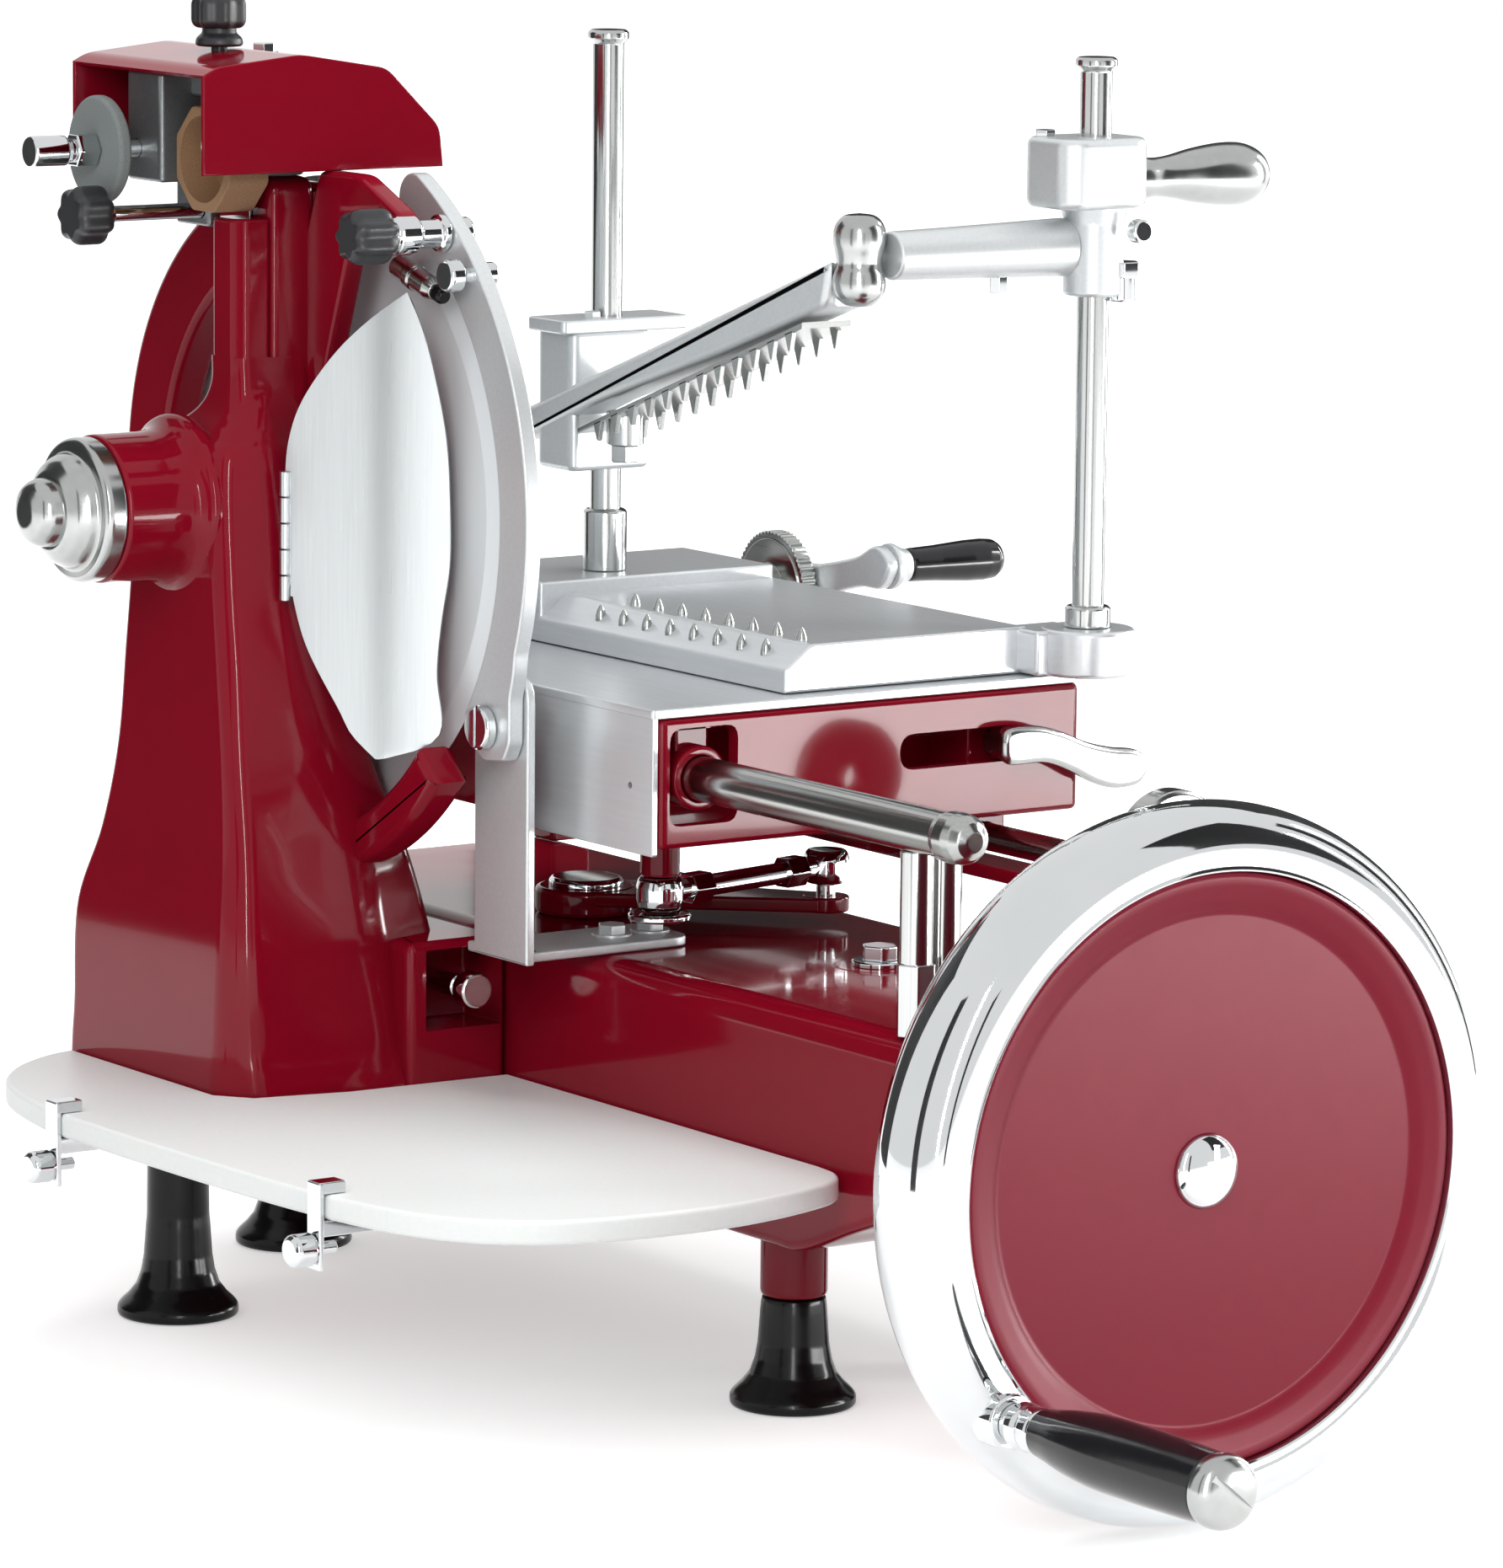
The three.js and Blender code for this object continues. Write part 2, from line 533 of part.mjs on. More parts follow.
function addBase() {
  add('base_casting', baseCasting(), redPaint);
  add('column_casting', columnCasting(), redPaint);
  feetPlaces.forEach(({ name, x, y, top }) => add(name, bellFoot(top), blackPlastic, [x, y, 0]));
  const boltBody = joined(
    rodAlong('z', deckBolt.washer, [0, deckBolt.washerThick]),
    rodAlong(
      'z', deckBolt.radius, [deckBolt.washerThick, deckBolt.washerThick + deckBolt.head], bolt.sides,
    ),
  );
  add('deck_bolt', boltBody, steel, [deckBolt.x, deckBolt.y, base.deck + seat]);
  const cap = turned('x', [
    [0, -seat], [bearingCap.flange, -seat], [bearingCap.flange, -bearingCap.flangeThick],
    [bearingCap.dome, -bearingCap.domeThick], [bearingCap.tip, -bearingCap.domeThick - bearingCap.tipThick],
    [0, -bearingCap.domeThick - bearingCap.tipThick],
  ], fine / 2);
  const hexTop = rodAlong('x', bearingCap.hex, [
    -bearingCap.domeThick - bearingCap.tipThick - bearingCap.hexThick, -bearingCap.domeThick,
  ], 6);
  add('bearing_cap', joined(cap, hexTop), chrome, [boss.left, 0, blade.height]);
  const pinBody = joined(
    rodAlong('y', columnPin.radius, [columnPin.neck, columnPin.rear], small),
    rodAlong(
      'y', columnPin.headRadius, [columnPin.front, columnPin.neck - columnPin.headLength / 2], small,
    ),
    rodAlong('y', columnPin.thin, [columnPin.front, columnPin.rear], small),
  );
  add('column_pin', pinBody, chrome, [columnPin.x, 0, columnPin.z]);
}

// Loop around two wheels, one above the other, in the (Y, Z) plane
function loop(lowRadius, highRadius, lowZ, highZ) {
  const steps = round / 2;
  const lean = Math.asin((lowRadius - highRadius) / (highZ - lowZ));
  const arc = (radius, z, from, to) => Array.from({ length: steps + 1 }, (_, i) => {
    const angle = from + ((to - from) * i) / steps;
    return [radius * Math.cos(angle), z + radius * Math.sin(angle)];
  });
  return [
    ...arc(highRadius, highZ, lean, Math.PI - lean),
    ...arc(lowRadius, lowZ, Math.PI - lean, 2 * Math.PI + lean),
  ];
}

function addDrive() {
  const cone = (axis) => turned(axis, [
    [0, -mainShaft.coneFar], [mainShaft.coneFar - freeGap, -mainShaft.coneFar],
    [mainShaft.coneNear - freeGap, -mainShaft.coneNear], [0, -mainShaft.coneNear],
  ]);
  const shaft = joined(
    rodAlong('y', mainShaft.radius, [wheel.y + wheel.face + seat, -mainShaft.coneFar]), cone('y'),
  );
  add('main_shaft', shaft, steel, [mainShaft.x, 0, mainShaft.z]);
  const low = chain.lower - seat;
  const cross = joined(
    move(
      rodAlong('x', crossShaft.radius, [crossShaft.left, mainShaft.x - mainShaft.coneFar]), -mainShaft.x, 0,
      0,
    ),
    cone('x'), move(rodAlong('x', low, [chain.left, chain.right]), -mainShaft.x, 0, 0),
  );
  add('cross_shaft', cross, steel, [mainShaft.x, 0, mainShaft.z]);
  const grown = chain.thick;
  const belt = cut(
    prism(
      'x', loop(chain.lower + grown, chain.upper + grown, mainShaft.z, blade.height),
      [chain.left, chain.right],
    ),
    prism(
      'x', loop(chain.lower, chain.upper, mainShaft.z, blade.height),
      [chain.left - over, chain.right + over],
    ),
  );
  add('drive_chain', belt, darkSteel);
}

function addBlade() {
  const middle = new THREE.Group();
  middle.position.set(0, 0, blade.height);
  machine.add(middle);
  const disc = turned('x', [
    [0, 0], [blade.radius, 0], [blade.radius, -blade.edge], [blade.radius - blade.bevel, -blade.bevelDepth],
    [blade.radius - blade.bevel * 2, -blade.bevelDepth], [blade.dish, -blade.thick], [0, -blade.thick],
  ], fine);
  add('blade', disc, bladeSteel, [0, 0, 0], middle);
  const shaft = joined(
    rodAlong('x', bladeShaft.radius, [bladeShaft.left, bladeShaft.flangeLeft]),
    rodAlong('x', bladeShaft.flangeRadius, [bladeShaft.flangeLeft, -blade.thick - seat]),
    rodAlong('x', chain.upper - seat, [chain.left, chain.right]),
  );
  add('blade_shaft', shaft, steel, [0, 0, 0], middle);
}

// The cover is a thin sheet that bulges toward the column side, hinged at its straight edge
function coverSheet() {
  const length = Math.hypot(cover.farX - cover.hingeX, cover.farY - cover.hingeY);
  const steps = 8;
  const bow = (t) => -cover.bulge * Math.sin(Math.PI * t);
  const front = Array.from({ length: steps + 1 }, (_, i) => [(length * i) / steps, bow(i / steps)]);
  const back = [...front].reverse().map(([u, w]) => [u, w + cover.thick]);
  const span = coverEdge.map(([, z]) => z);
  const slab = prism('z', [...front, ...back], [Math.min(...span) - over, Math.max(...span) + over]);
  const outline = prism('y', coverEdge, [-cover.bulge * 3, cover.bulge * 2]);
  const knuckles = rodAlong('z', cover.knuckle, [cover.low, cover.high], small);
  const tab = box(
    [0, coverEdge[0][0] + cover.knuckle * 2], [0, cover.thick], [cover.low + over, cover.high - over],
  );
  return joined(slab.intersect(outline), knuckles, tab);
}

// Place along the machine and height above the blade's middle of something that the ring carries
function onRing({ out, turnDegrees }) {
  const away = blade.radius + ring.gap + out;
  return { y: away * Math.cos(radians(turnDegrees)), rise: away * Math.sin(radians(turnDegrees)) };
}

function addGuards() {
  const inner = blade.radius + ring.gap;
  const outer = inner + ring.width;
  const sector = ringSector(
    inner, outer, 180 - ring.topDegrees, 180 - ring.bottomDegrees, [ring.left, ring.right],
  );
  const middleRadius = (inner + outer) / 2;
  const topAngle = radians(180 - ring.topDegrees);
  const tip = move(
    rodAlong('x', ring.width / 2, [ring.left, ring.right]),
    0, middleRadius * Math.cos(topAngle), blade.height + middleRadius * Math.sin(topAngle),
  );
  const [screwPlace, knobPlace, stopPlace] = [ringScrew, ringKnob, ringStop].map(onRing);
  const screwY = screwPlace.y;
  const screwZ = blade.height + screwPlace.rise;
  const knobZ = blade.height + knobPlace.rise;
  const stopZ = blade.height + stopPlace.rise;
  const pad = cut(
    box([ring.left, ring.right], [screwY - ringPad.ahead, screwY + ringPad.behind],
      [screwZ - ringPad.below, screwZ + ringPad.above]),
    move(rodAlong('x', inner, [ring.left - over, ring.right + over], fine), 0, 0, blade.height),
  );
  const hole = (radius, y, z) => move(
    rodAlong('x', radius + seat, [ring.left - over, bracket.left + bracket.thick + over], small), 0, y, z,
  );
  const holes = [
    hole(ringScrew.shank, screwY, screwZ), hole(ringKnob.stud, knobPlace.y, knobZ),
    hole(ringStop.pin, stopPlace.y, stopZ),
  ];
  add('guard_ring', cut(joined(sector, tip, pad), ...holes), aluminium);

  const strip = joined(
    box([bracket.left, bracket.left + bracket.thick], [screwY - bracket.half, screwY + bracket.half],
      [base.deck + seat, screwZ + bracket.above]),
    box([bracket.left, bracket.reach], [screwY - bracket.footAhead, screwY + bracket.footBehind],
      [base.deck + seat, base.deck + seat + bracket.thick]),
  );
  const footTop = base.deck + seat + bracket.thick;
  const heads = bracketBolts.map((x) => move(
    rodAlong('z', bolt.radius, [footTop - seat, footTop + bolt.head], bolt.sides), x,
    screwY + bracket.boltBehind, 0,
  ));
  add('ring_bracket', joined(cut(strip, holes[0]), ...heads), aluminium);

  const right = bracket.left + bracket.thick + seat;
  const headLeft = ring.left - seat - ringScrew.head;
  const screwBody = cut(
    joined(
      rodAlong('x', ringScrew.headRadius, [headLeft, ring.left - seat]),
      rodAlong('x', ringScrew.shank, [ring.left - seat, right + ringScrew.nutThick], small),
      rodAlong('x', ringScrew.nut, [right, right + ringScrew.nutThick], bolt.sides),
    ),
    box([headLeft - over, headLeft + ringScrew.head / 3], [-ringScrew.slot / 2, ringScrew.slot / 2],
      [-ringScrew.headRadius - over, ringScrew.headRadius + over]),
  );
  add('ring_screw', screwBody, chrome, [0, screwY, screwZ]);

  const knob = joined(
    lobedKnob('x', ringKnob.radius, ringKnob.lobe, [ringKnob.left, ringKnob.right]),
    rodAlong('x', ringKnob.nutRadius, [ringKnob.right, strut.left - seat], bolt.sides),
    rodAlong('x', ringKnob.stud, [ringKnob.right, ring.right + over], small),
  );
  add('ring_knob', knob, knobPlastic, [0, knobPlace.y, knobZ]);

  const stop = joined(
    rodAlong('x', ringStop.radius, [ringStop.left, ringStop.left + ringStop.radius], small),
    rodAlong('x', ringStop.pin, [ringStop.left, ringStop.capRight], small),
    rodAlong('x', ringStop.cap, [ring.right + seat, ringStop.capRight], small),
  );
  add('ring_stop', stop, knobPlastic, [0, stopPlace.y, stopZ]);

  const sheet = add('blade_cover', coverSheet(), bladeSteel, [cover.hingeX, cover.hingeY, blade.height]);
  sheet.rotation.z = Math.atan2(cover.farY - cover.hingeY, cover.farX - cover.hingeX);
}

function addFlywheel() {
  const hub = new THREE.Group();
  hub.position.set(mainShaft.x, wheel.y, mainShaft.z);
  machine.add(hub);
  const turn = radians(handle.turnDegrees);
  const [hx, hz] = [handle.arm * Math.cos(turn), handle.arm * Math.sin(turn)];
  const inner = wheel.discRadius + seat;
  const rimProfile = rimShares.map(([s, t]) => [inner + s * (wheel.radius - inner), t * wheel.rear]);
  const rim = joined(
    turned('y', [...rimProfile, rimProfile[0]], fine),
    move(rodAlong('y', handle.boss, [handle.bossFront, 0], small), hx, 0, hz),
  );
  add('flywheel_rim', rim, chrome, [0, 0, 0], hub);
  const bore = mainShaft.radius + seat;
  const disc = turned('y', [
    [bore, wheel.face], [wheelScrew.radius + over, wheel.face], [wheel.lip, wheel.face - wheel.step],
    [wheel.lip + (wheel.discRadius - wheel.lip) / 2, wheel.edgeFace + wheel.step],
    [wheel.discRadius, wheel.edgeFace], [wheel.discRadius, wheel.edgeFace / 3],
    [wheel.lip, wheel.edgeFace / 4], [wheel.hub + over, wheel.edgeFace / 4], [wheel.hub, wheel.hubRear],
    [bore, wheel.hubRear], [bore, wheel.face],
  ], fine);
  add('flywheel_disc', disc, satinRed, [0, 0, 0], hub);
  const back = wheel.face;
  const dome = turned('y', [
    ...domeShares.map(([r, t]) => [r * wheelScrew.radius, back - t * wheelScrew.dome]),
    [wheelScrew.radius, back - seat], [0, back - seat],
  ]);
  const slotTool = box(
    [-wheelScrew.slot / 2, wheelScrew.slot / 2],
    [back - wheelScrew.dome - over, back - wheelScrew.dome + wheelScrew.slotDepth],
    [-wheelScrew.radius - over, wheelScrew.radius + over],
  );
  add('flywheel_screw', cut(dome, slotTool), chrome, [0, 0, 0], hub);

  const pin = joined(
    rodAlong('y', handle.collar, [handle.collarEnd, handle.bossFront - seat], small),
    rodAlong('y', handle.pin, [handle.gripEnd, handle.collarEnd], small),
  );
  add('handle_pin', pin, chrome, [hx, 0, hz], hub);
  const pinBore = handle.pin + seat;
  const start = handle.collarEnd - seat;
  const gripBody = turned('y', [
    [pinBore, start], [grip.start, start],
    [grip.swell - grip.taper, start - grip.swellAt * grip.taperShare], [grip.swell, start - grip.swellAt],
    [grip.swell, handle.gripEnd + grip.swellAt / 2], [grip.end, handle.gripEnd], [pinBore, handle.gripEnd],
    [pinBore, start],
  ]);
  add('handle_grip', gripBody, blackPlastic, [hx, 0, hz], hub);
  const capStart = handle.gripEnd - seat;
  const capBody = cut(
    turned('y', [
      [0, capStart], ...capShares.map(([r, t]) => [r * grip.cap, capStart - t * grip.dome]),
    ]),
    box(
      [-grip.cap - over, grip.cap + over],
      [capStart - grip.dome - over, capStart - grip.dome + wheelScrew.slotDepth],
      [-wheelScrew.slot / 2, wheelScrew.slot / 2],
    ),
  );
  add('handle_cap', capBody, chrome, [hx, 0, hz], hub);
}

function addTray() {
  const board = prism('z', trayOutline, [tray.bottom, tray.top]);
  const b = columnBase;
  const columnRoom = prism('z', [
    [b.left - tray.gap, b.rear + over], [b.left - tray.gap, b.front + b.cornerX + b.cornerY - tray.gap],
    [b.left + b.cornerX - tray.gap, b.front + b.cornerX - tray.gap * 1.5],
    [b.left + b.cornerX * 4, b.front + b.skew / 2 - tray.gap], [b.right + over, b.front - tray.gap],
    [b.right + over, b.rear + over],
  ], [tray.bottom - over, tray.top + over]);
  const rimCut = box(
    [base.left - seat * 2, base.left + over], [nose.front, b.rear], [tray.bottom - over, tray.top + over],
  );
  add('tray_board', cut(board, columnRoom, rimCut), whiteBoard);
  clipPlaces.forEach(({ name, edge, y, reach }) => {
    const out = edge - seat;
    const halves = [y - clip.width / 2, y + clip.width / 2];
    const body = joined(
      box([out - clip.plate, reach], halves, [clip.bar, tray.bottom - seat]),
      box([out - clip.plate, out], halves, [clip.plateBottom, clip.hookTop]),
      box([out - clip.plate, out + clip.lip], halves, [tray.top + seat, clip.hookTop]),
    );
    const studHole = move(
      rodAlong('x', clip.stud + seat, [out - clip.plate - over, out + over], small), 0, y, clip.screwZ,
    );
    const studRoom = box(
      [out, out + clip.plate * 2], halves, [clip.plateBottom, clip.screwZ + clip.stud + freeGap],
    );
    add(`tray_clip_${name}`, cut(body, studHole, studRoom), steel);
    const head = out - clip.plate - seat;
    const screwBody = joined(
      rodAlong('x', clip.screw, [head - clip.screwLength, head], round),
      rodAlong('x', clip.stud, [head - clip.screwLength, out + clip.plate * 3], small),
    );
    add(`tray_screw_${name}`, screwBody, steel, [0, y, clip.screwZ]);
  });
}

function addRails() {
  const bar = joined(
    rodAlong('y', railFront.radius, [railFront.front, railFront.rear]),
    move(solidOf(new THREE.SphereGeometry(railFront.ball, round, small)), 0, railFront.front, 0),
  );
  add('rail_front', bar, steel, [railFront.x, 0, railFront.z]);
  const under = railFront.z - railFront.radius - seat;
  const leftPost = (y) => joined(
    rodAlong('z', railPost.hex, [base.deck + seat, railPost.hexTop], 6),
    rodAlong('z', railPost.radius, [base.deck + seat, under]),
  ).translate([railFront.x + railPost.hex / 2, y, 0]);
  add('rail_post_front', leftPost(railPost.frontY), steel);
  add('rail_post_rear', leftPost(railPost.rearY), steel);
  const second = rodAlong('z', secondPost.radius, [base.deck + seat, secondPost.top]);
  add('rail_post_second', second, steel, [secondPost.x, secondPost.y, 0]);

  const wide = [bridge.left, bridge.right];
  const floor = base.deck + seat;
  const strip = joined(
    box(wide, [bridge.front, bridge.rear], [bridge.bottom, bridge.top]),
    box(wide, [bridge.rear - bridge.leg, bridge.rear], [floor, railRear.z + railRear.radius + bridge.cap]),
    box(wide, [bridge.front, bridge.front + bridge.leg], [floor, bridge.top]),
  );
  const rearBore = rodAlong(
    'y', railRear.radius + seat, [bridge.rear - bridge.leg - over, bridge.rear + over],
  );
  add('rail_bridge', cut(strip, move(rearBore, railRear.x, 0, railRear.z)), redPaint);

  const back = [clampRing.y, clampRing.y + clampRing.depth];
  const disc = move(rodAlong('y', clampRing.radius, back), railRear.x, 0, clampRing.z);
  const below = box(
    [railRear.x - clampRing.radius, railRear.x + clampRing.radius], [clampRing.y - over, back[1] + over],
    [clampRing.z - clampRing.radius - over, bridge.top + seat],
  );
  const rearRail = move(
    rodAlong('y', railRear.radius, [railRear.front, railRear.rear]), railRear.x, 0, railRear.z,
  );
  add('rail_rear', joined(cut(disc, below), rearRail), steel);
}

function carriageCasting() {
  const c = carriage;
  const shell = cut(
    box([c.left, c.right], [c.front, c.rear], [c.bottom, c.top]),
    box(
      [c.left + c.wall, c.right - c.wall], [c.front + c.wall, c.rear - c.wall],
      [c.bottom - over, c.top - c.wall],
    ),
  );
  const windows = [
    box([notch.left, notch.right], [c.front - over, c.front + c.wall + over], [notch.bottom, notch.top]),
    box([slot.left, slot.right], [c.front - over, c.front + c.wall + over], [slot.bottom, slot.top]),
  ];
  const bossAt = (y) => joined(
    move(rodAlong('y', railBoss.radius, [y, y + railBoss.depth]), railFront.x, 0, railFront.z),
    box(
      [railFront.x - railBoss.shoe, railFront.x + railBoss.shoe], [y, y + railBoss.depth],
      [railFront.z, c.top - c.wall / 2],
    ),
  );
  const shoeAt = (y) => box(
    [railRear.x - railBoss.shoe, railRear.x + railBoss.shoe], [y, y + railBoss.depth],
    [railRear.z, c.top - c.wall / 2],
  );
  const rearStart = c.rear - railBoss.depth;
  const postBody = move(
    rodAlong('z', linkPost.radius, [linkPost.bottom, c.top - c.wall / 2]), linkPost.x, linkPost.y, 0,
  );
  const throughBore = ({ radius, x, z }) => move(
    rodAlong('y', radius + railBoss.clearance, [c.front - over, c.rear + over]), x, 0, z,
  );
  const standing = box(
    [screwBracket.left, screwBracket.right],
    [screw.y - screwBracket.halfWidth, screw.y + screwBracket.halfWidth],
    [c.top - c.wall / 2, screwBracket.top],
  );
  const screwBore = move(
    rodAlong('x', screw.radius + seat, [screwBracket.left - over, screwBracket.right + over]), 0, screw.y,
    screw.z,
  );
  const whole = joined(
    cut(shell, ...windows), bossAt(railBoss.front), bossAt(rearStart), shoeAt(c.front + c.wall * 2),
    shoeAt(rearStart), postBody, standing,
  );
  return cut(whole, throughBore(railFront), throughBore(railRear), screwBore);
}

function addCarriage() {
  add('carriage_casting', carriageCasting(), redPaint);
  const c = carriage;
  const bottom = c.top + seat;
  const sheet = cut(
    joined(
      box([plate.left, plate.right], [c.front, c.rear], [bottom, bottom + plate.thick]),
      box(
        [plate.left, plate.left + plate.flange], [plate.flangeFront, plate.flangeRear],
        [plate.flangeBottom, bottom + plate.thick],
      ),
    ),
    box(
      [screwBracket.left - freeGap, plate.right + over],
      [screw.y - screwBracket.halfWidth - freeGap, screw.y + screwBracket.halfWidth + freeGap],
      [bottom - over, bottom + plate.thick + over],
    ),
  );
  add('receiving_plate', sheet, aluminium);

  const dx = lever.tipX - lever.pivotX;
  const dz = lever.tipZ - lever.z;
  const wide = lever.body;
  const waist = wide * lever.waistShare;
  const tip = wide * lever.tipShare;
  const outline = [
    [-wide, -wide], [dx / 3, -waist], [dx * lever.waistShare, dz - wide], [dx, dz - tip], [dx + wide / 2, dz],
    [dx, dz + tip], [(dx * 3) / 5, dz + wide], [dx / 3, waist], [-wide, wide],
  ];
  const leverBody = joined(
    prism('y', outline, [lever.front, lever.front + lever.thick]),
    rodAlong('y', (slot.top - slot.bottom) / 2 - seat, [lever.front, c.front + c.wall]),
  );
  add('table_lock_lever', leverBody, aluminium, [lever.pivotX, 0, lever.z]);
}

function addLinkage() {
  const turn = radians(rocker.armDegrees);
  const [tx, ty] = [rocker.arm * Math.cos(turn), rocker.arm * Math.sin(turn)];
  const side = [-Math.sin(turn), Math.cos(turn)];
  const armOutline = [
    [side[0] * rocker.hub, side[1] * rocker.hub], [-side[0] * rocker.hub, -side[1] * rocker.hub],
    [tx - side[0] * rocker.tip, ty - side[1] * rocker.tip],
    [tx + side[0] * rocker.tip, ty + side[1] * rocker.tip],
  ];
  const body = joined(
    prism('z', armOutline, [rocker.bottom, rocker.top]),
    rodAlong('z', rocker.hub, [base.deck + seat, rocker.top]),
    move(rodAlong('z', rocker.tip, [rocker.bottom, rocker.top]), tx, ty, 0),
    move(rodAlong('z', rockerPin.radius, [rocker.top, rockerPin.top], small), tx, ty, 0),
    rodAlong('z', rocker.nut, [rocker.top, rocker.nutTop]),
  );
  add('rocker_arm', body, redPaint, [rocker.x, rocker.y, 0]);

  const [rx, ry] = [rocker.x + tx - linkPost.x, rocker.y + ty - linkPost.y];
  const length = Math.hypot(rx, ry);
  const low = rod.z - rod.housing;
  const ends = [0, length].map((x) => move(
    turned('z', [
      [0, low + seat], [rod.housingRadius - rod.chamfer, low + seat],
      [rod.housingRadius, rod.z - rod.chamfer], [rod.housingRadius, rod.z + rod.chamfer],
      [rod.housingRadius - rod.chamfer, rod.z + rod.housing - seat], [0, rod.z + rod.housing - seat],
    ]), x, 0, 0,
  ));
  const nutGap = rod.housingRadius + rod.hexLength / 2;
  const nuts = [nutGap, length - nutGap - rod.hexLength].map((x) => move(
    rodAlong('x', rod.hex, [0, rod.hexLength], bolt.sides), x, 0, rod.z,
  ));
  const link = joined(...ends, ...nuts, move(rodAlong('x', rod.radius, [0, length], small), 0, 0, rod.z));
  const mesh = add('connecting_rod', link, chrome, [linkPost.x, linkPost.y, 0]);
  mesh.rotation.z = Math.atan2(ry, rx);
}

function addTable() {
  const t = table;
  const slab = prism('y', [
    [t.left, t.bottom], [t.right, t.bottom], [t.right, t.top], [t.left + t.bevel, t.top], [t.left, t.lowEdge],
  ], [t.front, t.rear]);
  const raised = box([t.left, t.right], [block.front, t.rear], [t.bottom, block.top]);
  const neck = box([t.right - over, lug.x], [lug.y, lug.y + lug.neck * 2], [t.bottom, t.top]);
  const ear = move(rodAlong('z', lug.radius, [t.bottom, t.top]), lug.x, lug.y, 0);
  const slope = Math.atan2(t.top - t.lowEdge, t.bevel);
  const spikes = [];
  for (let row = 0; row < spike.rows; row += 1) {
    for (let i = 0; i < spike.count; i += 1) {
      const x = spike.rowX + row * spike.rowGap;
      const y = spike.first + spike.step * i + (row * spike.step) / 2;
      const z = Math.min(t.top, t.lowEdge + (x - t.left) * Math.tan(slope));
      const cone = turned(
        'z', [[0, -spike.height / 2], [spike.radius, -spike.height / 2], [0, spike.height]], 6,
      );
      spikes.push(move(cone, x, y, z));
    }
  }
  const screwRoom = move(
    rodAlong('x', screw.radius + screw.clearance, [t.left - over, t.right + over]), 0, screw.y, screw.z,
  );
  const rodHoles = [rodLeft, rodRight].map((r) => move(
    rodAlong('z', r.radius + seat, [t.bottom + (t.top - t.bottom) / 2, block.top + over]), r.x, r.y, 0,
  ));
  add('meat_table', cut(joined(slab, raised, neck, ear, ...spikes), screwRoom, ...rodHoles), aluminium);

  [['rod_left', rodLeft, block.top], ['rod_right', rodRight, t.top]].forEach(([name, r, floor]) => {
    const start = t.bottom + (t.top - t.bottom) / 2 + seat;
    const low = floor + seat;
    const end = press.height + head.top + r.above;
    const body = joined(
      rodAlong('z', r.radius, [start, end]),
      rodAlong('z', r.collar, [low, r.collarTop]),
      turned('z', [
        [0, end], [r.cap - r.chamfer, end], [r.cap, end + r.chamfer],
        [r.cap, end + r.capThick - r.chamfer / 2], [0, end + r.capThick],
      ]),
    );
    add(name, body, steel, [r.x, r.y, 0]);
  });

  const screwBody = joined(
    rodAlong('x', screw.radius, [screw.left, screw.end], small),
    rodAlong('x', screw.dial, [screw.dialLeft, screw.dialRight], fine / 2),
    rodAlong('x', screw.hub, [screwBracket.right + seat, screw.dialLeft]),
  );
  const feed = new THREE.Group();
  feed.position.set(0, screw.y, screw.z);
  machine.add(feed);
  const crankRight = crank.left + crank.thick;
  const [cy, cz] = [crank.tipY - screw.y, crank.tipZ - screw.z];
  const reach = Math.hypot(cy, cz);
  const [ny, nz] = [-cz / reach, cy / reach];
  const web = [[1, crank.hub, 0], [-1, crank.hub, 0], [-1, crank.tip, 1], [1, crank.tip, 1]].map(
    ([sign, half, end]) => [cy * end + sign * ny * half, cz * end + sign * nz * half],
  );
  const crankBody = joined(
    prism('x', web, [crank.left, crankRight]), rodAlong('x', crank.hub, [crank.left, crankRight]),
    move(rodAlong('x', crank.tip, [crank.left, crankRight]), 0, cy, cz),
    move(rodAlong('x', crank.pin, [crankRight, crank.pinEnd], small), 0, cy, cz),
    move(turned('x', [
      [0, crankRight], [feedGrip.ferrule, crankRight], [feedGrip.narrow, feedGrip.left - seat],
      [0, feedGrip.left - seat],
    ]), 0, cy, cz),
  );
  const crankBore = rodAlong('x', screw.radius + seat, [crank.left - over, crankRight + over], small);
  add('feed_screw', screwBody, steel, [0, 0, 0], feed);
  add('feed_crank', cut(crankBody, crankBore), aluminium, [0, 0, 0], feed);
  const bore = crank.pin + seat;
  const gripEnd = crank.pinEnd + seat;
  const gripBody = turned('x', [
    [bore, feedGrip.left], [feedGrip.narrow, feedGrip.left], [feedGrip.wide, feedGrip.right],
    [feedGrip.wide - feedGrip.rounding, gripEnd + feedGrip.rounding], [0, gripEnd + feedGrip.rounding],
    [0, gripEnd], [bore, gripEnd], [bore, feedGrip.left],
  ]);
  add('feed_grip', gripBody, blackPlastic, [0, cy, cz], feed);
}

